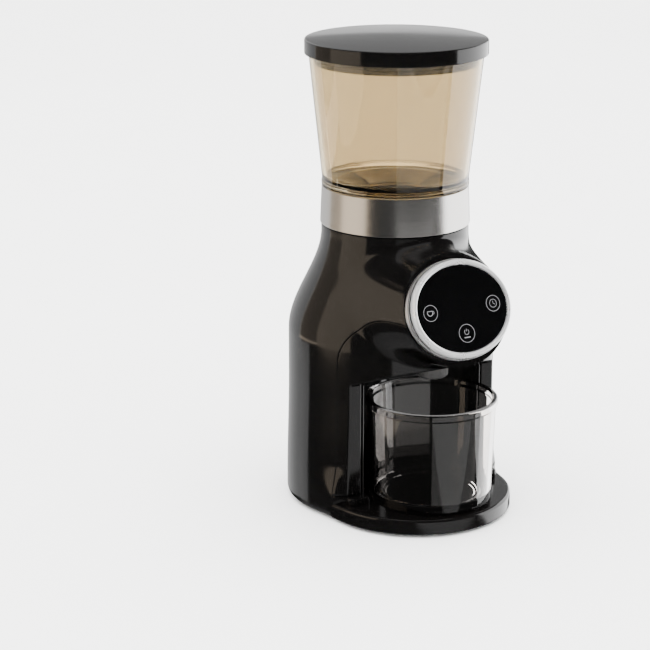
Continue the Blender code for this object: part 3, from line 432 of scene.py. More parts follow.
def settle(made, slot, body, *nodes):
    """A piece rides on its body and stands for the nodes that it replaces."""
    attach(made, body)
    if nodes:
        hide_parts(*nodes)
    return made


def bend(start, corner, end, steps=6):
    """A smooth curve from start to end that leaves and arrives along the lines to the corner."""
    start, corner, end = Vector(start), Vector(corner), Vector(end)
    shares = [i / steps for i in range(steps + 1)]
    return [start * (1 - t) ** 2 + corner * 2 * t * (1 - t) + end * t * t for t in shares]


def rounded(corners, closed=True):
    """Outline of (a, b, radius) corners, each rounded by its radius."""
    points = [Vector(corner[:2]) for corner in corners]
    outline = []
    for i, corner in enumerate(corners):
        radius = corner[2] if len(corner) > 2 else 0
        if radius == 0 or (not closed and i in (0, len(corners) - 1)):
            outline.append(points[i])
            continue
        back, on = points[i - 1] - points[i], points[(i + 1) % len(points)] - points[i]
        half = back.angle(on) / 2
        reach = min(radius / math.tan(half), 0.49 * back.length, 0.49 * on.length)
        outline += bend(points[i] + back.normalized() * reach, points[i], points[i] + on.normalized() * reach)
    return outline


def arc(centre, radius, start, end, steps):
    turns = [math.radians(start + (end - start) * i / steps) for i in range(steps + 1)]
    return [(centre[0] + radius * math.cos(t), centre[1] + radius * math.sin(t)) for t in turns]


def edge_profile(radius, steps=6):
    """(inset, drop) pairs of a quarter round, from its foot to its top."""
    turns = [math.radians(90 * i / steps) for i in range(steps + 1)]
    return [(radius * (1 - math.cos(t)), radius * (1 - math.sin(t))) for t in turns]


def full_turn(count):
    """The angles of equal steps round a circle."""
    return [2 * math.pi * i / count for i in range(count)]


def circle(radius, z, count, centre_y=AXIS_Y):
    return [(radius * math.cos(a), centre_y + radius * math.sin(a), z) for a in full_turn(count)]


def turned(name, profile, slot, body, *nodes, centre_y=AXIS_Y, segments=160, closed=True):
    """Revolves a (radius, z) outline.

    A closed one makes a ring, an open one is closed by a disc at each end.
    """
    skin = Skin()
    rows = [circle(radius, z, segments, centre_y) for radius, z in profile]
    skin.rows(rows, wrap=True, around=closed)
    if not closed:
        skin.face(rows[0])
        skin.face(rows[-1])
    return skin.make(name, slot, body, *nodes)


# ---- the tower's form --------------------------------------------------------------------------
def smooth_step(value):
    value = min(max(value, 0.0), 1.0)
    return value * value * (3 - 2 * value)


def column_circle(z):
    share = smooth_step((SHOULDER_HIGH_Z - z) / (SHOULDER_HIGH_Z - SHOULDER_LOW_Z))
    radius = NECK_RADIUS + (BODY_RADIUS - NECK_RADIUS) * share
    radius += (FOOT_RADIUS - BODY_RADIUS) * smooth_step((FLARE_TOP_Z - z) / (FLARE_TOP_Z - FLARE_LOW_Z))
    return radius, AXIS_Y + BODY_SETBACK * share


def nose_pull(x, z):
    """How far a point of the front is drawn to the nose: 1 on its flat end, 0 on the plain column."""
    across, upward = x / NOSE_HALF[0], (z - NOSE_RIM.z) / (NOSE_HALF[1] * math.cos(TILT))
    reach = math.hypot(across, upward)
    if reach <= 1:
        return 1.0
    fade = 0.21 + 0.25 * (across / reach) ** 2
    return max(0.0, 1 - (reach - 1) / fade) ** 2


def base_half_width(y):
    """Half width of the base's plan at y."""
    rear_y, front_y = AXIS_Y + BODY_SETBACK, AXIS_Y - TRAY_FORWARD
    lean = math.asin((FOOT_RADIUS - TRAY_RADIUS) / (rear_y - front_y))
    if y >= rear_y - FOOT_RADIUS * math.sin(lean):
        return math.sqrt(max(0.0, FOOT_RADIUS**2 - (y - rear_y) ** 2))
    return FOOT_RADIUS / math.cos(lean) + (y - rear_y) * math.tan(lean)


def foot_widening(y, z, radius, centre_y):
    """How far the tower's sides are drawn out near the foot, so that they run on into the tray."""
    share = smooth_step((WIDENING_TOP_Z - z) / (WIDENING_TOP_Z - FLARE_LOW_Z))
    share *= smooth_step((y - PILLAR_Y) / (PILLAR_FORWARD - SEAM_FORWARD))
    if share == 0 or y >= centre_y:
        return 0.0
    return share * (base_half_width(y) - math.sqrt(max(0.0, radius**2 - (y - centre_y) ** 2)))


def tower_point(angle, z, inset=0.0):
    """A point of the tower's outside, by its angle on the column (0 is +X, 90 is behind) and height."""
    radius, centre_y = column_circle(z)
    turn = math.radians(angle)
    x, y = radius * math.cos(turn), centre_y + radius * math.sin(turn)
    widening = foot_widening(y, z, radius, centre_y)
    if y < centre_y:
        plane_y = NOSE_RIM.y + (z - NOSE_RIM.z) * math.tan(TILT)
        y += (min(plane_y, y) - y) * nose_pull(x, z)
    x += math.copysign(widening, x) - inset * math.cos(turn)
    return Vector((x, y - inset * math.sin(turn), z))


def foot_half_width(y):
    """Half width of the tower's outside at the height of the ledge."""
    radius, centre_y = column_circle(LEDGE_Z)
    return math.sqrt(radius**2 - (y - centre_y) ** 2) + foot_widening(y, LEDGE_Z, radius, centre_y)


def tower_normal(angle, z):
    step = 0.05
    around = tower_point(angle + step, z) - tower_point(angle - step, z)
    upward = tower_point(angle, z + step * MM) - tower_point(angle, z - step * MM)
    return around.cross(upward).normalized()


def halving(low, high, is_below):
    """The value between low and high at which is_below turns from true to false."""
    for _ in range(40):
        middle = (low + high) / 2
        if is_below(middle):
            low = middle
        else:
            high = middle
    return (low + high) / 2


def angle_at(y, z):
    """The angle on the left side, from 180 to 270, at which the tower's outside reaches y."""
    return halving(180.0, 270.0, lambda angle: tower_point(angle, z).y > y)


def underside_z(y):
    return PILLAR_TOP_Z + max(0.0, PILLAR_Y - y) * math.tan(TILT)


def seam_y(z, shift):
    """Where the seam stands at a height, moved by `shift` towards the back."""
    corner_z, radius = SEAM_TOP_Z - SEAM_CORNER, SEAM_CORNER + shift
    corner_y = AXIS_Y - SEAM_FORWARD - SEAM_CORNER
    if z <= corner_z:
        return corner_y + radius
    return corner_y + math.sqrt(max(0.0, radius**2 - (z - corner_z) ** 2))


def seam_inward(point):
    """Unit vector in side view that points from the seam into the front cover."""
    corner = Vector((0, AXIS_Y - SEAM_FORWARD - SEAM_CORNER, SEAM_TOP_Z - SEAM_CORNER))
    way = corner - Vector((0, max(point.y, corner.y), max(point.z, corner.z)))
    return way.normalized()


def rolled_seam(places, side):
    """Rows that turn the edge at (angle, z) places inwards: side 1 towards the front cover, -1 away."""
    columns = []
    for angle, z in places:
        point, normal = tower_point(angle, z), tower_normal(angle, z)
        way = side * seam_inward(point)
        flat = (way - normal * way.dot(normal)).normalized()
        corner = point + flat * SEAM_ROLL
        curve = bend(point, corner, corner - normal * SEAM_ROLL)
        columns.append(curve + [corner - normal * SEAM_ROLL_DEPTH])
    return [list(row) for row in zip(*columns)]


def crowded(count):
    """Shares from 0 to 1 that lie closer together at both ends."""
    strength = 0.6
    shares = [i / count for i in range(count + 1)]
    return [t - strength * math.sin(2 * math.pi * t) / (2 * math.pi) for t in shares]


def rear_shell():
    """The tower behind the arched seam, and all of it above, with rounded seam edges."""
    shift = GAP / 2 + SEAM_ROLL
    low, high, seam_z = SHELL_LOW.z, SHELL_HIGH.z, SEAM_TOP_Z + shift
    foot_inset, foot_rise, neck_edge, neck_opening = 1.9 * MM, 4.4 * MM, 0.7 * MM, 46 * MM
    around, across = crowded(230), [i / 130 for i in range(131)]
    wall_low = low + foot_rise
    wall_zs = [wall_low + (seam_z - wall_low) * i / 150 for i in range(151)]

    def half_gap(z):
        return angle_at(seam_y(min(z, seam_z), shift), z) - 180

    def behind(spread):
        """The angles from the seam on one side, round the back, to the seam on the other."""
        return [-spread + (180 + 2 * spread) * t for t in around]

    levels = [(foot_inset * (1 - math.sin(t)), low + foot_rise * (1 - math.cos(t)))
              for t in (math.radians(15 * i) for i in range(6))]
    levels += [(0.0, z) for z in wall_zs]
    skin = Skin()
    skin.rows([[tower_point(angle, z, inset) for angle in behind(half_gap(z))] for inset, z in levels])

    spread = half_gap(seam_z)
    front = [180 + spread + (180 - 2 * spread) * t for t in across]
    loop = behind(spread)[:-1] + front[:-1]
    levels = [(0.0, seam_z + (high - neck_edge - seam_z) * i / 64) for i in range(65)]
    levels += [(inset, high - drop) for inset, drop in edge_profile(neck_edge, 4)[1:]]
    levels.append((NECK_RADIUS - neck_opening, high))
    skin.rows([[tower_point(angle, z, inset) for angle in loop] for inset, z in levels], wrap=True)

    ends = [(180 + half_gap(z), z) for z in wall_zs]
    rim = ends + [(angle, seam_z) for angle in front[1:-1]]
    rim += [(540 - angle, z) for angle, z in reversed(ends)]
    skin.rows(rolled_seam(rim, 1))
    made = skin.make("rear_shell_skin", "gloss_black", "housing", "rear_shell", wall=2.0 * MM,
                     outward=Vector((0, 1, 0)))
    gland_low, gland_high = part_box("cord_gland")
    gland_z = (gland_low.z + gland_high.z) / 2
    drill(made, (0, SHELL_HIGH.y, gland_z), GLAND_RADIUS + GAP, reach=12 * MM)
    return made


def drill(made, place, radius, reach):
    """Cuts a round hole along Y into a piece, reaching as far before the place as behind it."""
    rim = [(place[0] + radius * math.cos(a), place[2] + radius * math.sin(a)) for a in full_turn(64)]
    ends = [[(x, y, z) for x, z in rim] for y in (place[1] - reach, place[1] + reach)]
    bit = Skin()
    bit.rows(ends, wrap=True)
    bit.face(ends[0][::-1])
    bit.face(ends[1])
    cutter = bit.bare("drill")
    cutter.hide_render = True
    cutter.display_type = "WIRE"
    hole = made.modifiers.new("hole", "BOOLEAN")
    hole.object = cutter
    hole.solver = "FAST"
    made.modifiers.move(len(made.modifiers) - 1, 1)


COVER_SHIFT = -(GAP / 2 + SEAM_ROLL)
PILLAR_STEPS, HEAD_STEPS = 60, 150


def seam_place(share):
    """(angle, z) up the cover's seam: straight, round its corner, then level to the middle of the front."""
    straight_end, corner_end = 0.2, 0.65
    corner_z, radius = SEAM_TOP_Z - SEAM_CORNER, SEAM_CORNER + COVER_SHIFT
    if share < straight_end:
        z = HEAD_LOW_Z + (corner_z - HEAD_LOW_Z) * share / straight_end
        return angle_at(seam_y(z, COVER_SHIFT), z), z
    if share < corner_end:
        z = corner_z + radius * math.sin(math.pi / 2 * (share - straight_end) / (corner_end - straight_end))
        return angle_at(seam_y(z, COVER_SHIFT), z), z
    seam_z = SEAM_TOP_Z + COVER_SHIFT
    start = angle_at(seam_y(seam_z, COVER_SHIFT), seam_z)
    return start + (270 - start) * (share - corner_end) / (1 - corner_end), seam_z


def underside_place(share):
    """(angle, z) along the edge of the head's underside, from the pillar to the middle of the front."""
    start = angle_at(PILLAR_Y, PILLAR_TOP_Z)
    angle = start + (270 - start) * share
    return angle, halving(PILLAR_TOP_Z, SEAM_TOP_Z, lambda z: z < underside_z(tower_point(angle, z).y))


def cover_edges():
    """(angle, z) places along the cover's inner edge and, step for step, along its seam."""
    foot_z = LEDGE_Z + GAP
    inner, outer = [], []
    for i in range(PILLAR_STEPS):
        share = i / PILLAR_STEPS
        z_in, z_out = foot_z + (PILLAR_TOP_Z - foot_z) * share, foot_z + (HEAD_LOW_Z - foot_z) * share
        inner.append((angle_at(PILLAR_Y, z_in), z_in))
        outer.append((angle_at(seam_y(z_out, COVER_SHIFT), z_out), z_out))
    for i in range(HEAD_STEPS + 1):
        inner.append(underside_place(i / HEAD_STEPS))
        outer.append(seam_place(i / HEAD_STEPS))
    return inner, outer


def into_face(corner):
    """From the outline of the pillar's face or the underside to its inside."""
    if corner.z <= PILLAR_TOP_Z + 0.001 * MM:
        return Vector((1, 0, 0))
    y = PILLAR_Y - 0.35 * (PILLAR_Y - corner.y)
    return (Vector((0, y, underside_z(y))) - corner).normalized()


def cover_column(angle_in, z_in, angle_out, z_out):
    """Points from the face behind the inner edge, round that edge, and over the outside to the seam."""
    fillet, margin, steps = 1.3 * MM, 0.4 * MM, 60
    corner = tower_point(angle_in, z_in)
    length = (tower_point(angle_out, z_out) - corner).length
    first = min(fillet / length, 0.3)
    outside = []
    for i in range(steps + 1):
        t = first + (1 - first) * i / steps
        outside.append(tower_point(angle_in + (angle_out - angle_in) * t, z_in + (z_out - z_in) * t))
    inward = into_face(corner)
    rounding = bend(corner + inward * fillet, corner, outside[0])[:-1]
    return [corner + inward * (fillet + margin)] + rounding + outside


def mirrored(row):
    """A row that ends in the middle, carried on to the other side."""
    return row + [Vector((-point.x, point.y, point.z)) for point in row[-2::-1]]


def pillar_faces(skin, inside):
    """The pillars' flat faces, from the points inside their outer edge to the bay."""
    bay_cut = BAY_RADIUS + LINER_WALL + GAP
    edge, margin, depth = 0.8 * MM, 0.4 * MM, 5 * MM

    def bay_point(behind, z):
        y = PILLAR_Y + behind
        return Vector((-math.sqrt(bay_cut**2 - (y - BAY_Y) ** 2), y, z))

    for side in (1, -1):
        rows = []
        for point in inside:
            corner = bay_point(0, point.z)
            curve = bend(corner - Vector((edge, 0, 0)), corner, bay_point(edge, point.z))
            row = [point, corner - Vector((edge + margin, 0, 0))] + curve + [bay_point(depth, point.z)]
            rows.append([Vector((side * place.x, place.y, place.z)) for place in row])
        skin.rows(rows)


def head_underside(skin, outline):
    """The head's sloping underside, with the short duct round the chute's boot."""
    plan = arc((0, BAY_Y), BOOT_RADIUS + GAP, 0, 360, 48)[:-1]
    spout = [Vector((x, y, underside_z(y))) for x, y in plan]
    skin.plate(outline, spout)
    skin.rows([spout, [point + Vector((0, 0, 4 * MM)) for point in spout]], wrap=True)


def front_cover():
    """The face below the seam: pillars, the head's lower half and its underside, with rounded edges."""
    inner, outer = cover_edges()
    columns = [cover_column(*place_in, *place_out) for place_in, place_out in zip(inner, outer)]
    inside = [column[0] for column in columns]
    skin = Skin()
    skin.rows([mirrored(list(row)) for row in zip(*columns)])
    skin.rows([mirrored(row) for row in rolled_seam(outer, -1)])
    pillar_faces(skin, inside[:PILLAR_STEPS + 1])
    head_underside(skin, mirrored(inside[PILLAR_STEPS:]))
    return skin.make("front_cover_skin", "gloss_black", "housing", "front_cover", wall=1.8 * MM,
                     outward=Vector((0, -0.2, 1)))


def bay_liner():
    """The bay's curved wall, rounded into its ceiling and at its front edges."""
    low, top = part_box("bay_liner")[0].z, PILLAR_TOP_Z
    lip, ease = 1.0 * MM, 2.2 * MM
    start = math.degrees(math.asin((PILLAR_Y + lip - BAY_Y) / BAY_RADIUS))
    plan = [Vector((x, y, 0)) for x, y in arc((0, BAY_Y), BAY_RADIUS, start, 180 - start, 128)]
    edges = []
    for end, side in ((plan[0], 1), (plan[-1], -1)):
        tip = Vector((end.x, PILLAR_Y + 0.1 * MM, 0))
        edges.append(bend(end, tip, tip + Vector((side * lip, 0, 0)), 5)[1:])
    plan = list(reversed(edges[0])) + plan + edges[1]
    middle = Vector((0, BAY_Y + 14 * MM, 0))

    def row(inset, z):
        """The plan drawn in by inset; its front edges don't come forward."""
        placed = []
        for point in plan:
            inward = (middle - point).normalized()
            if point.y < PILLAR_Y + 2 * MM:
                inward.y = max(0.0, inward.y)
            placed.append(Vector((point.x + inward.x * inset, point.y + inward.y * inset, z)))
        return placed

    rows = [row(0, low), row(0, (low + top) / 2)]
    rows += [row(inset, top - drop) for inset, drop in edge_profile(ease, 8)]
    skin = Skin()
    skin.rows(rows)
    skin.face(rows[-1])
    return skin.make("bay_liner_skin", "gloss_black", "housing", "bay_liner", wall=1.2 * MM,
                     outward=Vector((0, 0, -1)))


def base_plan(inset):
    """Plan of the base: the tray's circle in front of the seam, and a smaller circle in the shell behind."""
    steps = 80
    rear_y, front_y = AXIS_Y + BODY_SETBACK, AXIS_Y - TRAY_FORWARD
    lean = math.degrees(math.asin((FOOT_RADIUS - TRAY_RADIUS) / (rear_y - front_y)))
    step_y, rear = AXIS_Y - SEAM_FORWARD - GAP - inset, FOOT_RADIUS - BASE_REAR_INSET - inset
    half = base_half_width(step_y) - inset
    start = math.degrees(math.asin((rear_y - step_y) / rear))
    return (arc((0, rear_y), rear, -start, 180 + start, steps) + [(-half, step_y)]
            + arc((0, front_y), TRAY_RADIUS - inset, 180 + lean, 360 - lean, steps) + [(half, step_y)])


def at_height(outline, z):
    return [Vector((x, y, z)) for x, y in outline]


def base():
    """The tray with its round recess, and the part of the base inside the shell."""
    low, top, edge, foot_edge, lip = TRAY_LOW.z, TRAY_TOP_Z, 2.0 * MM, 0.8 * MM, 0.9 * MM
    rows = [at_height(base_plan(6 * MM), low), at_height(base_plan(foot_edge), low)]
    rows += [at_height(base_plan(inset), low + drop) for inset, drop in reversed(edge_profile(foot_edge, 3))]
    rows += [at_height(base_plan(inset), top - drop) for inset, drop in edge_profile(edge)]
    rows.append(at_height(base_plan(edge + 0.5 * MM), top))
    levels = [(lip + 0.4 * MM, top), (lip, top), (lip - 0.35 * MM, top - 0.08 * MM),
              (lip - 0.65 * MM, top - 0.32 * MM), (0, top - 0.6 * MM), (-0.25 * MM, RECESS_Z + 0.25 * MM),
              (-0.9 * MM, RECESS_Z), (-1.5 * MM, RECESS_Z)]
    recess = [circle(RECESS_RADIUS + outset, z, 144, BAY_Y) for outset, z in levels]
    skin = Skin()
    skin.rows(rows, wrap=True)
    skin.plate(rows[-1], recess[0])
    skin.rows(recess, wrap=True)
    skin.face(recess[-1])
    return skin.make("base_skin", "gloss_black", "housing", "base", wall=1.4 * MM,
                     outward=Vector((0, -1, 0)))


def ledge():
    """The raised ledge round the bay: its front strip, its top and its curved inner wall."""
    front, half, bay = AXIS_Y - LEDGE_FORWARD, 60.2 * MM, BAY_RADIUS - 2 * MM
    back, edge, corner = AXIS_Y - SEAM_FORWARD - GAP, 1.1 * MM, 3.2 * MM
    bay_start = math.degrees(math.asin((front - BAY_Y) / bay))
    beside = [PILLAR_Y + (back - PILLAR_Y) * i / 8 for i in range(9)]

    def outline(inset):
        """Round the right-hand arm: the bay from its middle, then the arm's front, outside and back."""
        tip_x = (bay + inset) * math.cos(math.radians(bay_start))
        inner = arc((0, BAY_Y), bay + inset, 90, bay_start + math.degrees(inset / bay), 50)
        nose = arc((half - corner, front + corner), corner - inset, 270, 360, 8)
        side = [(half - inset, PILLAR_Y - 0.8 * MM)]
        side += [(foot_half_width(y) - 0.15 * MM - inset, y) for y in beside]
        return inner, [(tip_x + 0.3 * MM, front + inset)] + nose + side

    skin = Skin()
    heights = [(0, TRAY_TOP_Z - 0.3 * MM)]
    heights += [(inset, LEDGE_Z - drop) for inset, drop in edge_profile(edge)]
    heights.append((edge + 0.3 * MM, LEDGE_Z))
    for mirror in (1, -1):
        rows = []
        for inset, z in heights:
            inner, outer = outline(inset)
            rows.append([Vector((mirror * x, y, z)) for x, y in inner + outer])
        skin.rows(rows)
        behind = [(50 * MM, AXIS_Y), (0, BAY_Y + 52 * MM)]
        skin.plate(rows[-1] + [Vector((mirror * x, y, LEDGE_Z)) for x, y in behind])
    return skin.make("ledge_skin", "gloss_black", "housing", wall=1.0 * MM, outward=Vector((0, -1, 0)))


# ---- the panel ---------------------------------------------------------------------------------
def panel_point(across, upward, depth):
    return PANEL_CENTRE + Vector((across, 0, 0)) + PANEL_UP * upward + PANEL_NORMAL * depth


def panel_oval(half_x, half_y, depth, count):
    """An oval of points round the panel's middle, depth in front of the glass."""
    return [panel_point(half_x * math.cos(t), half_y * math.sin(t), depth) for t in full_turn(count)]


def oval_ring(name, outline, slot, *nodes):
    """Skins an outline of (half width, half height, distance in front of the glass) round the panel."""
    skin = Skin()
    skin.rows([panel_oval(*corner, 180) for corner in outline], wrap=True, around=True)
    return skin.make(name, slot, "housing", *nodes)


def bezel():
    """The bright oval round the glass, with a rounded crown."""
    back, brim, crown, steps = -3.5 * MM, 0.1 * MM, 1.65 * MM, 22
    section = [(0.0, back)]
    for i in range(steps + 1):
        turn = math.pi * i / steps
        section.append((0.5 - 0.5 * math.cos(turn), brim + crown * math.sin(turn)))
    section.append((1.0, back))
    outline = []
    for share, depth in section:
        half = [inner + (outer - inner) * share for inner, outer in zip(GLASS_HALF, BEZEL_HALF)]
        outline.append((*half, depth))
    made = oval_ring("panel_bezel_skin", outline, "satin_chrome", "panel_bezel")
    # painted sheen: the bezel gets a paler, less metallic silver than the ring, in place of reflections of a
    # bright surround
    made.data.materials[0] = bright_silver()


def panel_ring():
    """The ring that carries the bezel, with a narrow groove round the bezel."""
    back, front, groove_floor = -7.2 * MM, -3.8 * MM, -7.0 * MM
    edge, groove, bore = 0.8 * MM, 0.7 * MM, (33 * MM, 28 * MM)
    seat = [half - groove for half in BEZEL_HALF]
    lip = (BEZEL_HALF[0] + groove, BEZEL_HALF[1] + groove / 2)
    outline = [(*bore, back), (*bore, front), (*seat, front), (*seat, groove_floor), (*lip, groove_floor),
               (*lip, front - 0.4 * MM), (lip[0] + 0.3 * MM, lip[1] + 0.3 * MM, front)]
    outline += [(RING_HALF[0] - inset, RING_HALF[1] - inset, front - drop)
                for inset, drop in reversed(edge_profile(edge, 8))]
    outline.append((*RING_HALF, back))
    oval_ring("panel_ring_skin", outline, "satin_chrome", "panel_ring")


def glass():
    """The black glass with its edge eased."""
    edge = 0.4 * MM
    section = [(0, -1.8 * MM)]
    section += [(inset, -drop) for inset, drop in edge_profile(edge, 4)]
    section.append((edge + 0.5 * MM, 0))
    half_x, half_y = [half - GAP for half in GLASS_HALF]
    rows = [panel_oval(half_x - inset, half_y - inset, depth, 160) for inset, depth in section]
    skin = Skin()
    skin.rows(rows, wrap=True)
    skin.face(rows[0])
    skin.face(rows[-1])
    skin.make("touch_glass_skin", "glass_black", "housing", "touch_glass")


def flat_mark(skin, outline, closed, width):
    """A thin raised line of even width along points given across and up the glass."""
    sunk, raised = -0.1 * MM, 0.04 * MM
    points = [Vector(point) for point in outline]
    count = len(points)
    columns = []
    for i, point in enumerate(points):
        if closed:
            along = points[(i + 1) % count] - points[i - 1]
        else:
            along = points[min(i + 1, count - 1)] - points[max(i - 1, 0)]
        side = Vector((-along.y, along.x)).normalized() * width / 2
        section = ((side, sunk), (side, raised), (-side, raised), (-side, sunk))
        columns.append([panel_point(point.x + shift.x, point.y + shift.y, depth) for shift, depth in section])
    skin.rows(columns, wrap=True, around=closed)
    if not closed:
        skin.face(columns[0])
        skin.face(columns[-1])


def icons():
    """Three touch marks on the glass: a cup, a clock and a start sign, each in a thin ring."""
    line = 0.3 * MM
    cup, clock, start = (-24.8 * MM, 0.2 * MM), (24.4 * MM, 0.2 * MM), (0, -16.6 * MM)
    marks = Skin()
    for place, radius in ((cup, 5.3 * MM), (clock, 5.3 * MM), (start, 6.0 * MM)):
        flat_mark(marks, arc(place, radius, 0, 360, 48)[:-1], True, line)
    x, y = cup
    bowl = [(x - 2.4 * MM, y + 1.3 * MM)] + arc((x - 0.4 * MM, y + 0.2 * MM), 2.0 * MM, 190, 350, 12)
    bowl += [(x + 1.6 * MM, y + 1.3 * MM), (x - 0.4 * MM, y + 1.3 * MM)]
    flat_mark(marks, bowl, True, 1.6 * line)
    flat_mark(marks, arc((x + 1.7 * MM, y + 0.2 * MM), 1.0 * MM, -80, 80, 8), False, line)
    x, y = clock
    flat_mark(marks, arc(clock, 2.7 * MM, 0, 360, 32)[:-1], True, line)
    flat_mark(marks, [(x, y + 1.7 * MM), (x, y)], False, line)
    flat_mark(marks, [(x, y), (x + 1.3 * MM, y - 0.7 * MM)], False, line)
    x, y = start
    flat_mark(marks, arc((x, y + 0.9 * MM), 1.7 * MM, 125, 415, 24), False, line)
    flat_mark(marks, [(x, y + 3.1 * MM), (x, y + 1.3 * MM)], False, line)
    flat_mark(marks, [(x - 2.4 * MM, y - 2.7 * MM), (x + 2.4 * MM, y - 2.7 * MM)], False, 2 * line)
    made = marks.make("touch_icons", "glass_black", "housing", sharp=30)
    made.data.materials[0] = icon_white()


# ---- hopper, lid, band and container -----------------------------------------------------------
def lid():
    """A shallow dome with a crisp edge, a skirt, and a plug that holds the seal."""
    low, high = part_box("lid")
    bottom, top, rim = low.z, high.z, high.x
    hopper_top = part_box("hopper")[1].z
    middle, skirt, plug, groove, hollow = 0.5 * MM, 60.2 * MM, 55.8 * MM, 54.2 * MM, 52.4 * MM
    groove_high, groove_low, ceiling = 312.4 * MM, 309.6 * MM, 318 * MM
    radii = [middle + (rim - 2.2 * MM) * i / 24 for i in range(25)]
    dome = [(radius, top - 2.6 * MM * (radius / rim) ** 2) for radius in radii]
    corners = [(*dome[-1], 0), (rim, top - 2.7 * MM, 1.4 * MM), (rim, bottom + 7 * MM, 0.5 * MM),
               (skirt + 1 * MM, hopper_top - 1.7 * MM, 0.6 * MM), (skirt, hopper_top - 1.7 * MM, 0.4 * MM),
               (skirt, hopper_top + GAP, 0.3 * MM), (plug, hopper_top + GAP, 0.5 * MM),
               (plug, groove_high), (groove, groove_high), (groove, groove_low), (plug, groove_low),
               (plug, bottom + 0.6 * MM, 0.4 * MM), (hollow + 0.8 * MM, bottom, 0.5 * MM),
               (hollow, ceiling, 1.2 * MM), (middle, ceiling)]
    profile = dome[:-1] + rounded(corners, closed=False)
    turned("lid_skin", profile, "gloss_black", "hopper_lid", "lid", segments=192, closed=False)


def hopper():
    """The clear funnel, with a ridge that rests on the neck, a skirt inside it, and a throat."""
    low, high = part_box("hopper")
    bottom, top = low.z, high.z
    ridge, ridge_low, skirt, skirt_low = 50.35 * MM, 224.1 * MM, 43 * MM, 210 * MM
    throat, wall = 20 * MM, 2.2 * MM
    profile = rounded([(high.x, top, 0.6 * MM), (49.9 * MM, 227.8 * MM, 1.0 * MM),
                       (ridge, 226.8 * MM, 0.3 * MM), (ridge, ridge_low, 0.4 * MM),
                       (skirt, ridge_low, 0.5 * MM), (skirt, skirt_low, 0.4 * MM),
                       (skirt - wall, skirt_low, 0.4 * MM), (skirt - wall, 224.8 * MM, 1 * MM),
                       (throat + wall, 218 * MM, 1 * MM), (throat + wall, bottom, 0.5 * MM),
                       (throat, bottom, 0.5 * MM), (throat, 219.6 * MM, 2 * MM),
                       (47.5 * MM, 230 * MM, 3 * MM), (57.2 * MM, top, 0.6 * MM)])
    turned("hopper_skin", profile, "smoked_plastic", "bean_hopper", "hopper", segments=192)


def trim_band():
    """The steel band, a little wider below, with a step inside where it sits on the neck."""
    low, high = BAND_LOW.z, BAND_HIGH.z
    bore, lip, step_z = 49.7 * MM, 48.4 * MM, 222.2 * MM
    profile = rounded([(50.25 * MM, high, 0.5 * MM), (50.9 * MM, 208 * MM, 6 * MM),
                       (51.3 * MM, low, 0.4 * MM), (bore, low, 0.2 * MM), (bore, step_z, 0.2 * MM),
                       (lip, step_z, 0.2 * MM), (lip, high, 0.3 * MM)])
    turned("trim_band_skin", profile, "steel", "housing", "trim_band", segments=192)


def grounds_container():
    """The clear cup, with a hollowed foot, a thick rim and a raised ring in its floor."""
    low, top, rim = CUP_LOW.z, CUP_HIGH.z, CUP_HIGH.x
    middle, foot, foot_hollow = 0.4 * MM, rim - 3.4 * MM, low + 0.5 * MM
    floor_z, raised_z = low + 4.6 * MM, low + 5.6 * MM
    profile = rounded([(middle, foot_hollow, 0), (30 * MM, foot_hollow, 0.4 * MM), (31 * MM, low, 0.4 * MM),
                       (foot - 0.4 * MM, low, 1.4 * MM), (foot, low + 1.6 * MM, 1.2 * MM),
                       (rim - 1.3 * MM, top - 5.6 * MM, 0.8 * MM), (rim, top - 4.6 * MM, 0.8 * MM),
                       (rim, top, 1.3 * MM), (rim - 3.6 * MM, top, 1.4 * MM),
                       (rim - 3.9 * MM, top - 5 * MM, 1.5 * MM), (foot - 2.4 * MM, low + 5 * MM, 3 * MM),
                       (foot - 7 * MM, floor_z, 0.5 * MM), (foot - 7.6 * MM, raised_z, 0.5 * MM),
                       (foot - 9.4 * MM, raised_z, 0.5 * MM), (foot - 10 * MM, floor_z, 0.5 * MM),
                       (middle, floor_z, 0)], closed=False)
    made = turned("grounds_container_skin", profile, "clear_plastic", "container", "grounds_container",
                  centre_y=BAY_Y, segments=192, closed=False)
    made.visible_glossy = False


def adjust_collar():
    """The collar that the hopper turns."""
    low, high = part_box("adjust_collar")
    brim, outer, inner, cup = 45 * MM, 38.6 * MM, 36 * MM, 43.4 * MM
    brim_low, cup_floor = 205.7 * MM, 208.5 * MM
    profile = rounded([(brim, high.z, 0.5 * MM), (brim, brim_low, 0.4 * MM), (outer, brim_low, 0.3 * MM),
                       (outer, low.z, 0.4 * MM), (inner, low.z, 0.4 * MM), (inner, cup_floor, 0.5 * MM),
                       (cup, cup_floor, 0.8 * MM), (cup, high.z, 0.5 * MM)])
    turned("adjust_collar_skin", profile, "nylon", "grind_collar", "adjust_collar")


def burr_carrier():
    """The carrier of the ring burr, with a sloping top that leads the beans in."""
    low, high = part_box("burr_carrier")
    outer, seat, mouth, seat_z = 35.6 * MM, 31.3 * MM, 25.5 * MM, 193.2 * MM
    profile = rounded([(outer, high.z, 0.3 * MM), (outer, low.z, 0.5 * MM), (seat, low.z, 0.3 * MM),
                       (seat, seat_z), (mouth, seat_z, 0.5 * MM), (mouth, 197 * MM, 1.2 * MM),
                       (33 * MM, high.z, 1.0 * MM)])
    turned("burr_carrier_skin", profile, "nylon", "outer_burr", "burr_carrier")


def tooth(turns):
    """Height of a ground tooth, 0 to 1: a long slope and a short, steep back."""
    share = turns % 1.0
    return share / 0.78 if share < 0.78 else (1 - share) / 0.22


def toothed_circle(radius, deep, teeth, twist, z, count):
    """A circle round the burr axis whose teeth reach outwards by deep, or inwards if deep is negative."""
    loop = []
    for angle in full_turn(count):
        reach = radius + deep * tooth(teeth * angle / (2 * math.pi) - twist)
        loop.append((reach * math.cos(angle), AXIS_Y + reach * math.sin(angle), z))
    return loop


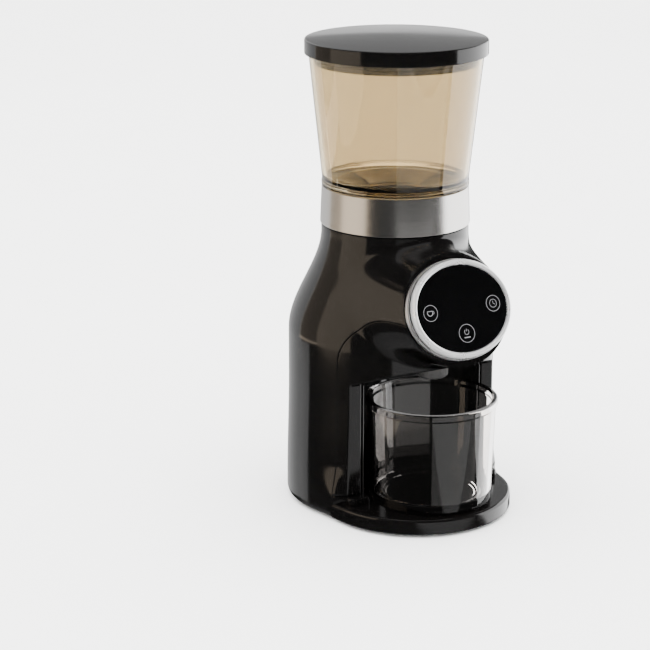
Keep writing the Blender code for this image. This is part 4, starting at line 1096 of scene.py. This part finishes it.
def ring_burr():
    """The outer burr, cut with slanting teeth inside."""
    low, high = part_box("ring_burr")
    steps, count = 12, 480
    rows = []
    for i in range(steps + 1):
        share = i / steps
        radius, deep = (20.9 + 2.6 * share**1.4) * MM, (0.9 + 1.3 * share) * MM
        z = low.z + (high.z - low.z) * share
        rows.append(toothed_circle(radius, deep, 24, 0.6 * share, z, count))
    rows += [circle(31 * MM, z, count) for z in (high.z, low.z)]
    skin = Skin()
    skin.rows(rows, wrap=True, around=True)
    skin.make("ring_burr_skin", "burr_steel", "outer_burr", "ring_burr", sharp=25)


def cone_burr():
    """The inner burr, a cone with winding ridges and a bore."""
    low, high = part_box("cone_burr")
    steps, count = 24, 360
    rows = []
    for i in range(steps + 1):
        share = i / steps
        radius, deep = (20 - 11.5 * share) * MM, (1.2 + 1.2 * share) * MM
        z = low.z + (high.z - low.z) * share
        rows.append(toothed_circle(radius, -deep, 12, 0.95 * share, z, count))
    rows += [circle(4.1 * MM, z, count) for z in (high.z, low.z)]
    skin = Skin()
    skin.rows(rows, wrap=True, around=True)
    skin.make("cone_burr_skin", "burr_steel", "grinding_shaft", "cone_burr", sharp=25)


def burr_nut():
    """The six-sided nut on top of the cone burr."""
    low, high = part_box("burr_nut")
    corner, bore, chamfer = 7.5 * MM, 4.8 * MM, 0.7 * MM
    profile = [(corner, low.z), (corner, high.z - chamfer), (corner - 0.8 * MM, high.z), (bore, high.z),
               (bore, low.z)]
    turned("burr_nut_skin", profile, "zinc", "grinding_shaft", "burr_nut", segments=6)


# ---- studio ------------------------------------------------------------------------------------
def floor():
    """A pale floor that sweeps up into a backdrop all round, out of sight of the polished surfaces."""
    sweep = [(2.0, 0.0), (4.5, 0.0)] + arc((6.0, 3.0), 3.0, 270, 360, 24) + [(9.0, 6.0)]
    rows = [circle(radius, z, 96) for radius, z in sweep]
    skin = Skin()
    skin.rows(rows, wrap=True)
    skin.face(rows[0])
    made = skin.bare("floor")
    made.data.shade_smooth()
    made.data.materials.append(studio_floor())
    made.visible_glossy = False


def studio_light(name, light, place):
    made = linked(name, light)
    made.location = place
    return made


def for_reflections(made):
    """Nothing but reflections sees the light."""
    made.visible_camera = False
    made.visible_diffuse = False
    made.visible_transmission = False


def card(name, azimuths, heights, brightness, colour=(1, 1, 1)):
    """An upright bright card that only reflections see, between two azimuths and two heights."""
    distance = 1.6
    middle = math.radians(sum(azimuths) / 2)
    light = bpy.data.lights.new(name, "AREA")
    light.shape = "RECTANGLE"
    light.size = 2 * distance * math.tan(math.radians(azimuths[1] - azimuths[0]) / 2)
    light.size_y = heights[1] - heights[0]
    light.energy = brightness * math.pi * light.size * light.size_y
    light.color = colour
    outward = Vector((math.cos(middle), math.sin(middle), 0))
    foot = Vector((0, AXIS_Y, sum(heights) / 2))
    made = studio_light(name, light, foot + outward * distance)
    made.rotation_euler = (-outward).to_track_quat("-Z", "Y").to_euler()
    for_reflections(made)


def level_card(name, height, size, brightness):
    """A level bright card over or under the grinder that only reflections see."""
    light = bpy.data.lights.new(name, "AREA")
    light.size = size
    light.energy = brightness * math.pi * size * size
    made = studio_light(name, light, (0, AXIS_Y, height))
    made.rotation_euler.x = math.pi if height < 0 else 0
    for_reflections(made)


def overhead_light():
    """Even light on the floor from a wide sky; polished surfaces don't mirror it."""
    light = bpy.data.lights.new("overhead", "SUN")
    light.energy = FLOOR_LIGHT
    light.angle = math.radians(110)
    made = studio_light("overhead", light, (0, 0, 3))
    made.visible_glossy = False


def lights():
    """A dim room, the overhead light, and cards that lay soft reflections on the polished black."""
    world = bpy.data.worlds.new("studio")
    bpy.context.scene.world = world
    world.use_nodes = True
    background = world.node_tree.nodes["Background"]
    background.inputs["Color"].default_value = (1, 1, 1, 1)
    background.inputs["Strength"].default_value = 0.05
    overhead_light()
    warm = (1.0, 0.83, 0.64)
    card("rear_left_card", (66, 120), (-0.7, 1.6), 0.9)
    card("low_rear_left_card", (120, 136), (-0.7, -0.34), 1.0)
    card("left_card", (118, 150), (-0.3, -0.22), 2.2, warm)
    card("high_left_card", (118, 150), (-0.22, 1.5), 0.45, warm)
    card("front_left_card", (150, 194), (-0.36, 1.15), 1.3, warm)
    card("low_front_card", (240, 312), (-0.7, -0.33), 0.8)
    card("front_card", (240, 300), (-0.33, -0.05), 0.28)
    card("right_card", (318, 400), (-0.7, 1.2), 4.0)
    card("low_back_card", (44, 76), (0.3, 0.54), 1.3)
    card("back_card", (30, 90), (0.54, 1.7), 0.45)
    level_card("ceiling_card", 2.1, 1.6, 0.6)
    level_card("under_card", -0.8, 2.6, 0.28)


def camera():
    """Looks down on the grinder from the front left, from far enough to be nearly free of perspective."""
    data = bpy.data.cameras.new("camera")
    data.lens = 121.85
    data.sensor_width = 36
    made = linked("camera", data)
    made.location = (-0.7784, AXIS_Y - 1.2458, 0.553)
    made.rotation_euler = Vector((0.4817, 0.83, -0.2813)).to_track_quat("-Z", "Y").to_euler()
    bpy.context.scene.camera = made


camera()
dress_cad_nodes()
rear_shell()
front_cover()
bay_liner()
base()
ledge()
bezel()
panel_ring()
glass()
icons()
lid()
hopper()
trim_band()
grounds_container()
adjust_collar()
burr_carrier()
ring_burr()
cone_burr()
burr_nut()
floor()
lights()
